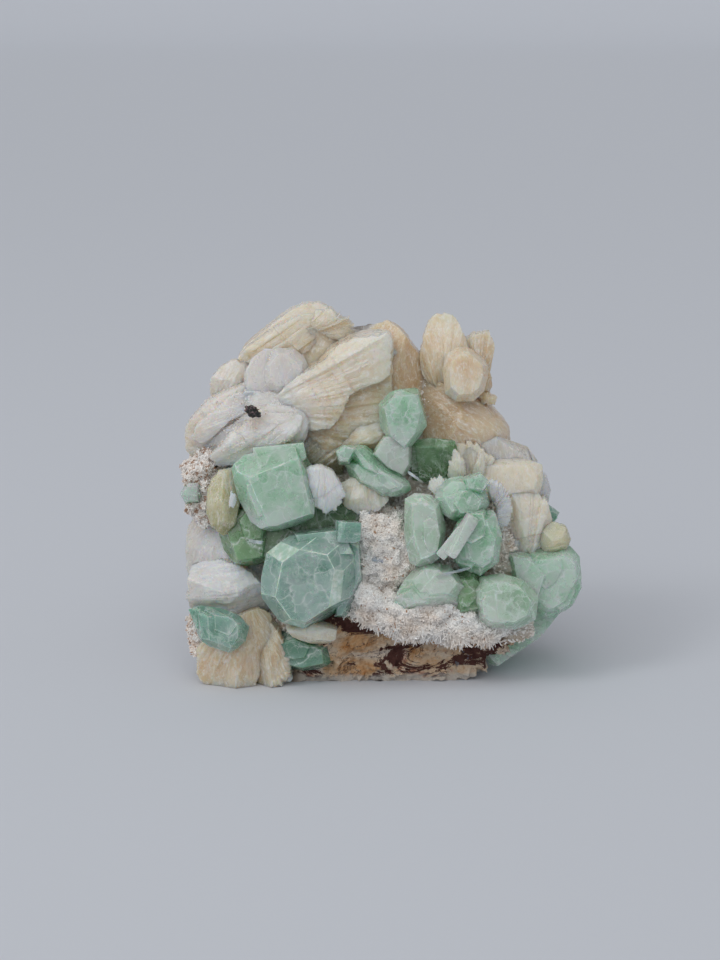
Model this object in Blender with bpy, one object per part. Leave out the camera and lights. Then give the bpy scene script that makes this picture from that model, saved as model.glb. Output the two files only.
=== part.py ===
"""Apophyllite on stilbite, a hand-size mineral specimen. Metres, +Z up, the front faces -Y.

A broken piece of altered basalt carries a crust of fine white crystals. Stilbite sheaves and green
apophyllite grew on it. Every crystal is its own closed solid, and a small gap is kept between
neighbours: where two crystals have grown into each other, the smaller one keeps its shape and the
bigger one is cut round it, and the matrix is cut round all of them.
"""

from math import copysign, cos, pi, radians

import bmesh
import bpy
from mathutils import Euler, Vector, noise

# Driving dimensions, in metres. The rows below are in millimetres and are scaled by MM.
MM = 0.001
WIDTH = 92.0 * MM  # across the front
HEIGHT = 84.0 * MM
DEPTH = 64.0 * MM
GAP = 0.65 * MM  # how far a neighbour's corners are pushed out before it cuts; its faces move about half
FOOT_LIFT = 0.0  # height of the flat foot above the ground

LOBE_SEGMENTS = 12  # around a stilbite body
LOBE_RINGS = 9  # from its base to its tip
CORNER_CUT = 0.30  # share of a crystal's side taken by the small pyramid face at each corner
ROCK_ROUGHNESS = 1.8 * MM
ROCK_GRAIN = 9.0 * MM

# Colour, roughness and metallic of each kind of material
MINT = (0.33, 0.62, 0.45, 1.0)
DEEP_GREEN = (0.16, 0.40, 0.22, 1.0)
CREAM = (0.72, 0.60, 0.44, 1.0)
PEACH = (0.62, 0.44, 0.27, 1.0)
PALE = (0.74, 0.72, 0.68, 1.0)
SUGAR = (0.80, 0.74, 0.68, 1.0)
TAN_ROCK = (0.52, 0.38, 0.24, 1.0)


for old in list(bpy.data.objects):
    bpy.data.objects.remove(old, do_unlink=True)

specimen = bpy.data.collections.new("apophyllite_specimen")
cutters = bpy.data.collections.new("cutters")
for group in (specimen, cutters):
    bpy.context.scene.collection.children.link(group)


def material(name, colour, roughness):
    made = bpy.data.materials.new(name)
    made.use_nodes = True
    shader = made.node_tree.nodes["Principled BSDF"]
    shader.inputs["Base Color"].default_value = colour
    shader.inputs["Roughness"].default_value = roughness
    shader.inputs["Metallic"].default_value = 0.0
    return made


def piece(name, bm, colour, roughness, at=(0, 0, 0), turn=(0, 0, 0)):
    """The shape in bm as a named object in the specimen, placed by location and rotation."""
    bmesh.ops.recalc_face_normals(bm, faces=bm.faces)
    mesh = bpy.data.meshes.new(name)
    bm.to_mesh(mesh)
    bm.free()
    made = bpy.data.objects.new(name, mesh)
    made.location = Vector(at) * MM
    made.rotation_euler = Euler([radians(a) for a in turn])
    made.data.materials.append(material(name, colour, roughness))
    specimen.objects.link(made)
    return made


def cut_off(bm, point, normal):
    """Takes away what lies beyond a plane and closes the cut."""
    bmesh.ops.bisect_plane(
        bm,
        geom=bm.verts[:] + bm.edges[:] + bm.faces[:],
        dist=0.00001,
        plane_co=point,
        plane_no=normal,
        clear_outer=True,
    )
    open_edges = [e for e in bm.edges if e.is_boundary]
    if open_edges:
        bmesh.ops.holes_fill(bm, edges=open_edges, sides=0)


def apophyllite(name, at, size, turn=(0, 0, 0), corner=CORNER_CUT, colour=MINT, chips=()):
    """A stout square prism with its eight corners cut by pyramid faces.

    chips are further broken faces, each the share of the half size it passes through and its normal.
    """
    width, depth, height = (s * MM for s in size)
    bm = bmesh.new()
    bmesh.ops.create_cube(bm, size=1.0)
    bmesh.ops.scale(bm, vec=(width, depth, height), verts=bm.verts)
    least = min(width, depth, height)
    for sx in (-1, 1):
        for sy in (-1, 1):
            for sz in (-1, 1):
                # no two corners of a natural crystal are cut by the same amount
                uneven = 1.0 + 0.45 * noise.noise(Vector(at) * 0.37 + Vector((sx, sy, sz)) * 2.3)
                share = corner * uneven
                tip = Vector((sx * width, sy * depth, sz * height)) / 2
                normal = Vector((sx, sy, sz * 0.8)).normalized()
                cut_off(bm, tip - normal * share * least, normal)
    for share, normal in chips:
        half = Vector((normal[0] * width, normal[1] * depth, normal[2] * height)) / 2
        cut_off(bm, half * share, Vector(normal).normalized())
    return piece(name, bm, colour, 0.15, at, turn)


def stilbite(name, at, size, turn=(0, 0, 0), taper=0.0, square=0.55, colour=CREAM, ribs=0.0):
    """A sheaf of stilbite: a thick rounded slab, wider at one end.

    taper is how much wider the top is than the middle, square runs from 1 (a ball) towards 0 (a box),
    and ribs is the depth in millimetres of the steps along its length.
    """
    width, depth, height = (s * MM for s in size)
    bm = bmesh.new()
    bmesh.ops.create_uvsphere(bm, u_segments=LOBE_SEGMENTS, v_segments=LOBE_RINGS, radius=1.0)
    for vertex in bm.verts:
        x, y, z = vertex.co
        round_ = max((x * x + y * y) ** 0.5, 1e-6)
        out = round_**square
        across = copysign(abs(x / round_) ** square, x) * out
        through = copysign(abs(y / round_) ** square, y) * out
        along = copysign(abs(z) ** square, z)
        spread = 1.0 + taper * along
        step = ribs * MM * cos(5.0 * pi * across) * (1.0 - along * along) * (1 if y < 0 else 0)
        vertex.co = (
            across * spread * width / 2,
            through * (1.0 + 0.4 * taper * along) * depth / 2 - step,
            along * height / 2 * (1.0 - 0.10 * across * across),
        )
    return piece(name, bm, colour, 0.35, at, turn)


def crust(name, at, size, turn=(0, 0, 0), rough=1.2, colour=SUGAR, levels=2):
    """A lumpy body of fine crystals."""
    width, depth, height = (s * MM for s in size)
    bm = bmesh.new()
    bmesh.ops.create_icosphere(bm, subdivisions=levels, radius=0.5)
    for vertex in bm.verts:
        way = vertex.co.normalized()
        shaped = Vector([copysign(abs(c) ** 0.7, c) for c in way])
        lump = noise.noise(way * 2.6 + Vector(at) * 0.21) * rough * MM
        vertex.co = Vector((shaped.x * width, shaped.y * depth, shaped.z * height)) * 0.5 + way * lump
    return piece(name, bm, colour, 0.8, at, turn)


# The matrix: the fracture faces that bound it, each a direction and its distance in millimetres from
# the middle of the rock. Between the faces the edges are rounded, then the surface is roughened.
ROCK_MIDDLE = Vector((0.0, 3.5, 37.0))
FRACTURES = (
    ((0.0, -1.0, -0.10), 20.5),  # the broken face at the front
    ((0.0, -1.0, 0.42), 17.0),  # the front above it leans back
    ((0.0, -0.5, -1.0), 43.0),
    ((-1.0, -0.1, 0.0), 38.0),  # left side
    ((-0.55, 0.0, 0.83), 37.0),  # upper left
    ((0.1, 0.0, 1.0), 34.5),  # top
    ((0.78, 0.0, 0.62), 30.0),  # upper right
    ((1.0, 0.0, 0.12), 36.5),  # right side
    ((0.66, 0.0, -0.75), 39.0),  # lower right, cut back
    ((-0.5, 0.0, -0.87), 44.0),
    ((0.12, 1.0, 0.12), 22.0),  # back
    ((-0.70, 0.70, -0.12), 30.0),
    ((0.66, 0.74, 0.20), 28.0),
    ((-0.10, 0.66, 0.75), 31.0),
    ((0.10, 0.60, -0.80), 36.0),  # back, near the ground
)
EDGE_SHARPNESS = 26  # higher keeps the edges between the fractures crisper
ROCK_LEVELS = 4


def rock(name):
    bm = bmesh.new()
    bmesh.ops.create_icosphere(bm, subdivisions=ROCK_LEVELS, radius=1.0)
    bmesh.ops.scale(bm, vec=(1.0, 0.75, 1.0), verts=bm.verts)
    for vertex in bm.verts:
        way = vertex.co.normalized()
        # the reach in this direction is the shortest one over all the fractures, softened
        total = 0.0
        for normal, distance in FRACTURES:
            facing = way.dot(Vector(normal).normalized())
            if facing > 0.0:
                total += (facing / distance) ** EDGE_SHARPNESS
        reach = total ** (-1.0 / EDGE_SHARPNESS) * MM
        rough = noise.fractal(way * reach / ROCK_GRAIN, 0.8, 2.1, 3) * ROCK_ROUGHNESS
        vertex.co = ROCK_MIDDLE * MM + way * (reach + rough)
    cut_off(bm, Vector((0, 0, FOOT_LIFT)), Vector((0, 0, -1)))
    return piece(name, bm, TAN_ROCK, 0.9)


matrix = rock("matrix")

# Crusts of fine white crystals
crust("druse_centre", (1, -13, 30), (17, 12, 18))
crust("druse_band", (12, -16, 16), (46, 9, 9), turn=(0, 4, 0), rough=1.0)
crust("druse_left", (-38.5, -7, 43.5), (11, 12, 15))
crust("druse_foot_left", (-38.5, -14, 11), (9, 11, 11))
stilbite("zeolite_lump", (0.5, -19.5, 29.5), (8.5, 5, 3.6), turn=(0, 4, 0), square=0.9, colour=PALE)

# Apophyllite at the left
apophyllite(
    "apophyllite_upper_left", (-23.5, -17.5, 44), (15.5, 15, 16.5), turn=(-10, -16, 20), corner=0.16
)
apophyllite(
    "apophyllite_left_lobe", (-31.5, -16.5, 32), (12, 12, 11), turn=(10, 25, 20), colour=DEEP_GREEN
)
apophyllite(
    "apophyllite_under", (-14, -12, 34.5), (20, 14, 10), turn=(12, 8, -15), corner=0.2,
    colour=DEEP_GREEN,
)
apophyllite(
    "apophyllite_main", (-16, -20.5, 24.5), (19.5, 18, 21), turn=(-14, 8, -14), corner=0.30,
    chips=((0.88, (-0.75, -0.45, -0.4)),),
)
apophyllite("apophyllite_small_cube", (-7.5, -22, 36.8), (5.4, 5.4, 5.2), turn=(-8, 4, 12), corner=0.1)
apophyllite(
    "apophyllite_lower_left", (-36.5, -23.5, 14.5), (14, 11, 9.5), turn=(-8, 27, 18), corner=0.22
)
apophyllite(
    "apophyllite_dull", (-19, -13.5, 7.5), (15, 14, 11), turn=(6, 14, 12), colour=DEEP_GREEN
)
apophyllite("apophyllite_left_edge", (-41.5, -10, 42.5), (6, 6, 6.5), turn=(10, 18, 30))

# Apophyllite in the middle
apophyllite(
    "apophyllite_top", (5.5, -11.5, 60), (11, 11, 13), turn=(-12, 22, 14), corner=0.30
)
apophyllite(
    "apophyllite_beam", (-2, -16, 49), (18, 7.5, 7), turn=(-6, 33, -8), corner=0.22
)
apophyllite("apophyllite_plate", (3, -11.5, 51.5), (9.5, 4, 9.5), turn=(-14, 30, 5), corner=0.2)
apophyllite(
    "apophyllite_olive", (11.5, -6.5, 48), (12, 12, 10.5), turn=(0, -2, 6), corner=0.1,
    colour=DEEP_GREEN,
)

# Apophyllite cluster right of the middle
apophyllite("apophyllite_cluster_top", (17.5, -18.5, 43), (12, 10, 9.5), turn=(-10, 12, -10))
apophyllite("apophyllite_cluster_left", (9.8, -20.5, 36), (9, 9, 15.5), turn=(-4, -6, 14))
apophyllite("apophyllite_cluster_right", (21.5, -19.5, 33.5), (9.5, 10, 12.5), turn=(-5, 8, -22))
apophyllite(
    "apophyllite_cluster_prism", (17.3, -24.5, 36), (3.8, 3.8, 10.5), turn=(-6, 38, 0), corner=0.2
)
apophyllite("apophyllite_cluster_low", (8.5, -19.5, 25.5), (13, 9, 8), turn=(-12, -28, 10))
apophyllite("apophyllite_cluster_base", (17, -18, 22.5), (10, 9, 8), turn=(-10, -16, -8))

# Apophyllite at the lower right
apophyllite("apophyllite_right_face", (27, -19.5, 21), (15, 12, 12.5), turn=(-16, -8, -12))
apophyllite(
    "apophyllite_right_block", (30.8, -5.2, 14.2), (23, 20, 13), turn=(1, -41, 2), corner=0.2
)
apophyllite(
    "apophyllite_right_upper", (38.5, -9.5, 24), (13, 14, 13.5), turn=(0, -12, 8), corner=0.2
)
apophyllite("apophyllite_right_edge", (39, -2, 36.5), (5, 5, 6), turn=(0, 24, 30), corner=0.15)

# Stilbite across the top
stilbite("stilbite_crest", (-20, 5.5, 70.5), (33, 15, 20), turn=(-6, -33, 0), square=0.5)
stilbite("stilbite_crest_left", (-34.5, 0, 65.5), (12, 13, 16), turn=(-4, -24, 6), square=0.6)
stilbite(
    "stilbite_fan", (-10, -7, 64), (22, 12, 30), turn=(-14, 66, 0), taper=0.14, square=0.45,
    ribs=0.6,
)
stilbite(
    "stilbite_back_slab", (3.5, 7.5, 69), (17, 11, 25), turn=(-6, -15, 0), taper=-0.16, square=0.55
)
stilbite(
    "stilbite_grey_block", (-23, -4.5, 68), (13.5, 9, 11), turn=(-18, -14, 10), square=0.5,
    colour=PALE,
)

# Stilbite at the left
stilbite(
    "stilbite_lobe_upper", (-36, -9, 59.5), (9.5, 9.5, 19), turn=(-8, 50, 0), taper=-0.22,
    colour=PALE, ribs=0.4,
)
stilbite(
    "stilbite_lobe_lower", (-28.5, -13, 54), (10.5, 10, 24), turn=(-8, 62, 0), taper=-0.15,
    colour=PALE, ribs=0.4,
)
stilbite(
    "stilbite_olive_lobe", (-35.5, -18, 42), (7.6, 8, 14.5), turn=(0, -4, 0), square=0.8, ribs=0.2
)
stilbite(
    "stilbite_left_block", (-35, -13.5, 25.5), (18.5, 16, 22), turn=(-4, 2, 4), square=0.45,
    colour=PALE,
)
stilbite("stilbite_foot_left", (-34, -18.5, 7.2), (16, 14, 13), turn=(0, 10, 4), taper=-0.12)
stilbite("stilbite_foot_right", (-26, -14, 7.9), (13, 12, 14), turn=(0, 24, 0), taper=-0.1)
stilbite("stilbite_under_slab", (-15.5, -20, 11.8), (11, 8, 4.2), turn=(0, 6, 0), square=0.7)

# Stilbite in the hollow in the middle
stilbite(
    "stilbite_white_disc", (-12.5, -19.5, 45), (8.5, 5.5, 10.5), turn=(-10, -16, 0), square=0.75,
    colour=PALE, ribs=0.3,
)
stilbite(
    "stilbite_cream_disc", (-4, -16.5, 43), (11, 7, 7.5), turn=(-6, 10, 0), square=0.75, ribs=0.3
)
stilbite("stilbite_brown", (-13, -9.5, 51.5), (9, 9, 9), turn=(0, 30, 20), square=0.4)
stilbite("stilbite_beige_lobe", (-5, -9.5, 56), (8, 8, 12), turn=(0, 55, 0), square=0.65)

# The flower of blades at the top right, and the smooth body below it
stilbite(
    "stilbite_flower_left", (14, 0.5, 73.5), (9.5, 7.5, 18), turn=(-4, 4, -8), taper=0.1, square=0.6
)
stilbite(
    "stilbite_flower_right", (23, 2.5, 72), (7, 6.5, 14), turn=(0, 12, 10), square=0.6
)
stilbite("stilbite_flower_front", (19, -5, 67.5), (10, 8, 11), turn=(-10, 6, 4), square=0.4)
stilbite("stilbite_flower_bud", (24, 0.5, 65.5), (4.6, 4.6, 5.4), turn=(0, 20, 0), square=0.7)
stilbite(
    "stilbite_shoulder", (19.5, -1, 55.5), (19, 15, 21), turn=(-8, -36, 0), taper=0.06, square=0.7,
    colour=PEACH,
)

# Stilbite down the right side
stilbite("stilbite_slab_upper", (28, -2, 51.5), (15.5, 13, 9), turn=(0, 32, 4), square=0.45)
stilbite("stilbite_slab_lower", (30.2, -6.5, 45.8), (14, 12.5, 9), turn=(0, 24, -4), square=0.45)
stilbite(
    "stilbite_right_sheaf", (33, -10.5, 36.5), (12, 10, 17), turn=(0, -4, 6), taper=0.35, ribs=0.5
)
stilbite("stilbite_ball", (39, -11, 32.5), (7.4, 7.4, 7.6), square=0.95)
stilbite(
    "stilbite_crescent", (26.2, -16.5, 41.3), (5, 4.6, 11), turn=(-8, -24, 0), square=0.7,
    colour=PALE,
)
stilbite(
    "stilbite_clear_block", (37.2, -4.5, 42.5), (4.6, 5, 7.4), turn=(0, -10, 0), square=0.4,
    colour=PALE,
)
stilbite("stilbite_leaf", (17, -12.5, 49.8), (4.2, 3.2, 7.2), turn=(-6, -8, 0), square=0.8)

# Crystals on the back
stilbite("stilbite_back_fan", (-13, 24, 47), (21, 11, 27), turn=(14, -24, 8), taper=0.2, ribs=0.6)
stilbite("stilbite_back_tuft", (16, 23, 44), (15, 10, 19), turn=(10, 22, -12), taper=0.18, ribs=0.5)
apophyllite("apophyllite_back_large", (5, 23.5, 25), (14, 13, 15), turn=(14, 18, 28))
apophyllite("apophyllite_back_small", (-14, 23.5, 24), (9, 9, 8.5), turn=(-8, 30, 12))


def corners_of(made):
    """The lowest and highest corner of an object's box, in world space."""
    placed = [made.matrix_world @ v.co for v in made.data.vertices]
    low = Vector([min(p[i] for p in placed) for i in range(3)])
    high = Vector([max(p[i] for p in placed) for i in range(3)])
    return low, high


def swollen_copy(made):
    """A copy with every vertex pushed out, which cuts a neighbour and leaves the gap."""
    bm = bmesh.new()
    bm.from_mesh(made.data)
    bm.normal_update()
    moved = [(v, v.co + v.normal * GAP) for v in bm.verts]
    for vertex, place in moved:
        vertex.co = place
    mesh = bpy.data.meshes.new("cut_" + made.name)
    bm.to_mesh(mesh)
    bm.free()
    cutter = bpy.data.objects.new("cut_" + made.name, mesh)
    cutter.location, cutter.rotation_euler = made.location, made.rotation_euler
    cutter.hide_render = True
    cutter.display_type = "WIRE"
    cutters.objects.link(cutter)
    return cutter


def bulk(made):
    bm = bmesh.new()
    bm.from_mesh(made.data)
    volume = abs(bm.calc_volume())
    bm.free()
    return volume


def keep_largest(bm):
    """Drops the small bodies that a cut left loose."""
    left, bodies = set(bm.faces), []
    while left:
        body, edge = set(), [next(iter(left))]
        while edge:
            face = edge.pop()
            if face in body:
                continue
            body.add(face)
            edge.extend(f for e in face.edges for f in e.link_faces if f not in body)
        bodies.append(body)
        left -= body
    bodies.sort(key=lambda body: sum(face.calc_area() for face in body))
    loose = [face for body in bodies[:-1] for face in body]
    if loose:
        bmesh.ops.delete(bm, geom=loose, context="FACES")


bpy.context.view_layer.update()
by_size = sorted((p for p in specimen.objects if p != matrix), key=bulk) + [matrix]
boxes = {p.name: corners_of(p) for p in by_size}
cutter_of = {p.name: swollen_copy(p) for p in by_size if p != matrix}
for place, made in enumerate(by_size):
    low, high = boxes[made.name]
    for other in by_size[:place]:
        their_low, their_high = boxes[other.name]
        apart = any(
            low[i] - GAP > their_high[i] or their_low[i] - GAP > high[i] for i in range(3)
        )
        if not apart:
            cut = made.modifiers.new("round_" + other.name, "BOOLEAN")
            cut.operation = "DIFFERENCE"
            cut.solver = "EXACT"
            cut.object = cutter_of[other.name]

bpy.context.view_layer.update()
trimmed = {}
for made in by_size:
    seen = made.evaluated_get(bpy.context.evaluated_depsgraph_get())
    trimmed[made.name] = bpy.data.meshes.new_from_object(seen)
for made in by_size:
    bm = bmesh.new()
    bm.from_mesh(trimmed[made.name])
    bmesh.ops.remove_doubles(bm, verts=bm.verts, dist=0.000002)
    keep_largest(bm)
    bmesh.ops.triangulate(bm, faces=bm.faces)
    bm.to_mesh(made.data)
    bm.free()
    made.modifiers.clear()

# Stand the finished specimen so that its box is centred over the origin and its foot is on the ground.
ends = [corners_of(p) for p in specimen.objects]
low = Vector([min(e[0][i] for e in ends) for i in range(3)])
high = Vector([max(e[1][i] for e in ends) for i in range(3)])
middle = (low + high) / 2
for made in specimen.objects:
    made.location -= Vector((middle.x, middle.y, low.z))
bpy.context.view_layer.update()
for side, wanted, got in zip("xyz", (WIDTH, DEPTH, HEIGHT), high - low):
    print(f"{side}: {got / MM:.1f} mm, planned {wanted / MM:.0f} mm")
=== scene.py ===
"""Apophyllite and stilbite on basalt: how the specimen looks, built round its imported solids."""

from math import copysign, cos, pi, radians, sin

import bmesh
import bpy
import numpy as np
from mathutils import Euler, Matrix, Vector, noise
from mathutils.kdtree import KDTree


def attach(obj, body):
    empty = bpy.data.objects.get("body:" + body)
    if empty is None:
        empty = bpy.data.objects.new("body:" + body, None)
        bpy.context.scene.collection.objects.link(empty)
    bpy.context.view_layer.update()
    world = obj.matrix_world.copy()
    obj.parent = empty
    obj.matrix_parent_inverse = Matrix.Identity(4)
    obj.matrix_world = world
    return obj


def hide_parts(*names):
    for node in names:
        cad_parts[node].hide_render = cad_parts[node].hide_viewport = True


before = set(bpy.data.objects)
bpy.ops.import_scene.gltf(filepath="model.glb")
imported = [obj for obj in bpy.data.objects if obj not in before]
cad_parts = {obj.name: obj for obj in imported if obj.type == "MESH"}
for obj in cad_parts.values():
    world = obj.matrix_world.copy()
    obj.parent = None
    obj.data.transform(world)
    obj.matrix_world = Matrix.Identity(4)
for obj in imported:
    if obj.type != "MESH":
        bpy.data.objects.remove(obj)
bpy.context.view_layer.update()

# ---------------------------------------------------------------------------------------------
# The studio. A pale paper sweep that rises all round, a small soft box at the upper left in front,
# a broad overhead light, and a long lens a little above the specimen.
# ---------------------------------------------------------------------------------------------
MM = 0.001
CAMERA_RISE = radians(12.0)
CAMERA_LENS = 85.0
CAMERA_DISTANCE = 0.523
CAMERA_AIM = Vector((-5.4, 0.0, 43.0)) * MM
SWEEP_FLAT = 7.0
SWEEP_HEIGHT = 2.5
SWEEP_RINGS = 6
SWEEP_CURVE = 12
SWEEP_STEPS = 64
BOX_PLACE, BOX_AIM = Vector((-0.70, -0.55, 0.80)), Vector((0.0, 0.0, 0.04))
BOX_SIZE = (0.35, 0.30)
BOX_POWER, OVERHEAD_POWER, ROOM_STRENGTH = 1.7, 0.95, 0.47
OVERHEAD_SPREAD = radians(75)
OVERHEAD_TURN = (radians(38), radians(-18), 0.0)

scene = bpy.context.scene
scene.view_settings.view_transform = "Standard"

camera = bpy.data.objects.new("camera", bpy.data.cameras.new("camera"))
camera.data.lens = CAMERA_LENS
camera.data.sensor_width = 36.0
camera.data.clip_start = 0.01
away = Vector((0.0, -cos(CAMERA_RISE), sin(CAMERA_RISE)))
camera.location = CAMERA_AIM + away * CAMERA_DISTANCE
camera.rotation_euler = (pi / 2 - CAMERA_RISE, 0.0, 0.0)
scene.collection.objects.link(camera)
scene.camera = camera


def linear(red, green, blue):
    """A colour given on the usual 0 to 255 scale, as the shaders want it."""
    parts = [c / 255 for c in (red, green, blue)]
    return (*[p / 12.92 if p <= 0.04045 else ((p + 0.055) / 1.055) ** 2.4 for p in parts], 1.0)


lamp = bpy.data.objects.new("left_front", bpy.data.lights.new("left_front", "AREA"))
lamp.data.shape = "RECTANGLE"
lamp.data.size, lamp.data.size_y = BOX_SIZE
lamp.data.energy = BOX_POWER
lamp.location = BOX_PLACE
lamp.rotation_euler = (BOX_AIM - BOX_PLACE).to_track_quat("-Z", "Y").to_euler()
scene.collection.objects.link(lamp)
sky = bpy.data.objects.new("overhead", bpy.data.lights.new("overhead", "SUN"))
sky.data.energy = OVERHEAD_POWER
sky.data.angle = OVERHEAD_SPREAD
sky.rotation_euler = OVERHEAD_TURN
scene.collection.objects.link(sky)
world = bpy.data.worlds.new("room")
world.use_nodes = True
world.node_tree.nodes["Background"].inputs["Color"].default_value = linear(236, 237, 240)
world.node_tree.nodes["Background"].inputs["Strength"].default_value = ROOM_STRENGTH
scene.world = world

bm = bmesh.new()
profile = [(r * SWEEP_FLAT / SWEEP_RINGS, 0.0) for r in range(SWEEP_RINGS + 1)]
for step in range(1, SWEEP_CURVE + 1):
    turned = step / SWEEP_CURVE * pi / 2
    profile.append((SWEEP_FLAT + SWEEP_HEIGHT * sin(turned), SWEEP_HEIGHT * (1 - cos(turned))))
line = [bm.verts.new((r, 0.0, z)) for r, z in profile]
edges = [bm.edges.new(pair) for pair in zip(line, line[1:])]
bmesh.ops.spin(
    bm, geom=line + edges, axis=(0, 0, 1), cent=(0, 0, 0), steps=SWEEP_STEPS, angle=2 * pi
)
bmesh.ops.remove_doubles(bm, verts=bm.verts, dist=0.0001)
bmesh.ops.recalc_face_normals(bm, faces=bm.faces)
sweep = bpy.data.objects.new("sweep", bpy.data.meshes.new("sweep"))
bm.to_mesh(sweep.data)
bm.free()
for face in sweep.data.polygons:
    face.use_smooth = True
paper = bpy.data.materials.new("paper")
paper.use_nodes = True
shader = paper.node_tree.nodes["Principled BSDF"]
shader.inputs["Base Color"].default_value = linear(212, 216, 223)
shader.inputs["Roughness"].default_value = 0.9
shader.inputs["Specular IOR Level"].default_value = 0.1
sweep.data.materials.append(paper)
scene.collection.objects.link(sweep)

# ---------------------------------------------------------------------------------------------
# The matrix: altered basalt broken out of a cavity wall with a hammer. Its lower front is a fresh
# break, tan and ochre with dark maroon patches. The rest is weathered, over a flat foot.
# ---------------------------------------------------------------------------------------------
STAND = Vector((-0.62, -0.585, 0.0))  # millimetres, puts the middle of the box over the origin
ROCK_MIDDLE = Vector((0.0, 3.5, 37.0))
FRACTURES = (
    # the way each faces, and how far it lies from the middle of the rock
    ((0.0, -1.0, -0.10), 23.0),  # the fresh break at the front
    ((0.0, -1.0, 0.42), 17.0),
    ((0.0, -0.5, -1.0), 43.0),
    ((-1.0, -0.1, 0.0), 38.0),
    ((-0.55, 0.0, 0.83), 37.0),
    ((0.1, 0.0, 1.0), 34.5),
    ((0.78, 0.0, 0.62), 30.0),
    ((1.0, 0.0, 0.12), 31.5),
    ((0.66, 0.0, -0.75), 39.5),
    ((-0.5, 0.0, -0.87), 44.0),
    ((0.12, 1.0, 0.12), 20.5),
    ((-0.70, 0.70, -0.12), 30.0),
    ((0.66, 0.74, 0.20), 28.0),
    ((-0.10, 0.66, 0.75), 31.0),
    ((0.10, 0.60, -0.80), 36.0),
)
ROCK_EDGE = 26  # higher is sharper
ROCK_ROUGHNESS = 1.8
ROCK_GRAIN = 9.0
ROCK_SQUEEZE = (1.0, 0.75, 1.0)
CRUMBLE = 1.0
BREAK_CRUMBLE = 0.9  # how much more the fresh break crumbles
BEHIND_CRYSTALS = 4.0
BEHIND_BLOCKS = 5.0
BREAK_HEIGHT = 12.8
BREAK_LEFT = -21.0
SMOOTH_BELOW = radians(24)


def new_tree(name):
    """A material, its tree, its Principled shader, and the place on the object in metres."""
    made = bpy.data.materials.new(name)
    made.use_nodes = True
    tree = made.node_tree
    where = tree.nodes.new("ShaderNodeTexCoord").outputs["Object"]
    return made, tree, tree.nodes["Principled BSDF"], where


def ball(level, squeeze=(1.0, 1.0, 1.0)):
    """The ways out to the points of a ball, and its faces."""
    bm = bmesh.new()
    bmesh.ops.create_icosphere(bm, subdivisions=level, radius=1.0)
    bmesh.ops.scale(bm, vec=squeeze, verts=bm.verts)
    ways = np.array([v.co.normalized()[:] for v in bm.verts])
    faces = [[v.index for v in f.verts] for f in bm.faces]
    bm.free()
    return ways, faces


def ranged(values, low, high):
    """0 up to low, 1 from high on, and even between; low may be above high."""
    return np.clip((values - low) / (high - low), 0, 1)


def add(tree, kind, links=(), **values):
    """A node with its settings; links are (its input, the socket that feeds it)."""
    made = tree.nodes.new(kind)
    for key, value in values.items():
        if hasattr(made, key):
            setattr(made, key, value)
        else:
            made.inputs[key.replace("_", " ")].default_value = value
    for socket, source in links:
        tree.links.new(source, made.inputs[socket])
    return made


def ramp(tree, source, *stops):
    """A colour ramp; stops are (place, colour)."""
    made = add(tree, "ShaderNodeValToRGB", [("Fac", source)])
    band = made.color_ramp
    while len(band.elements) < len(stops):
        band.elements.new(0.5)
    for element, (place, colour) in zip(band.elements, stops):
        element.position = place
        element.color = colour if hasattr(colour, "__len__") else (colour, colour, colour, 1.0)
    return made.outputs["Color"]


def mark(tree, name, socket="Fac"):
    """A value that the mesh carries."""
    return add(tree, "ShaderNodeAttribute", attribute_name=name).outputs[socket]


def times_plus(tree, source, factor, more):
    """The source times a factor, plus another source."""
    made = add(tree, "ShaderNodeMath", [(0, source), (2, more)], operation="MULTIPLY_ADD")
    made.inputs[1].default_value = factor
    return made.outputs[0]


def blend(tree, share, first, second, kind="MIX"):
    """Two colours mixed; each of the three may be a value or a socket."""
    made = tree.nodes.new("ShaderNodeMix")
    made.data_type, made.blend_type = "RGBA", kind
    for index, value in ((0, share), (6, first), (7, second)):
        if isinstance(value, bpy.types.NodeSocket):
            tree.links.new(value, made.inputs[index])
        else:
            made.inputs[index].default_value = value
    return made.outputs[2]


def bump(tree, height, distance, strength=1.0, under=None):
    """A bumped surface, on top of the bumps under it; distance is in metres."""
    made = add(tree, "ShaderNodeBump", [("Height", height)], Distance=distance, Strength=strength)
    if under is not None:
        tree.links.new(under, made.inputs["Normal"])
    return made.outputs["Normal"]


def patches(tree, where, scale, detail=6.0, roughness=0.6, distortion=0.0):
    """Cloudy noise with its middle at 0.5."""
    return add(
        tree, "ShaderNodeTexNoise", [("Vector", where)],
        Scale=scale, Detail=detail, Roughness=roughness, Distortion=distortion,
    ).outputs["Fac"]


def mesh_object(name, points, faces, marks):
    """A mesh from points in millimetres, with the values that its points carry."""
    mesh = bpy.data.meshes.new(name)
    mesh.from_pydata((np.asarray(points) * MM).tolist(), [], faces)
    for key, values in marks.items():
        values = np.asarray(values, np.float32)
        kind = "FLOAT" if values.ndim == 1 else "FLOAT_VECTOR"
        layer = mesh.attributes.new(key, kind, "POINT")
        layer.data.foreach_set("value" if kind == "FLOAT" else "vector", values.ravel())
    made = bpy.data.objects.new(name, mesh)
    scene.collection.objects.link(made)
    return made


def declare(piece, nodes):
    """Every piece rides on the specimen, and most stand for a solid of the frame."""
    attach(piece, "root")
    if nodes:
        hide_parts(*nodes)


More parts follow.
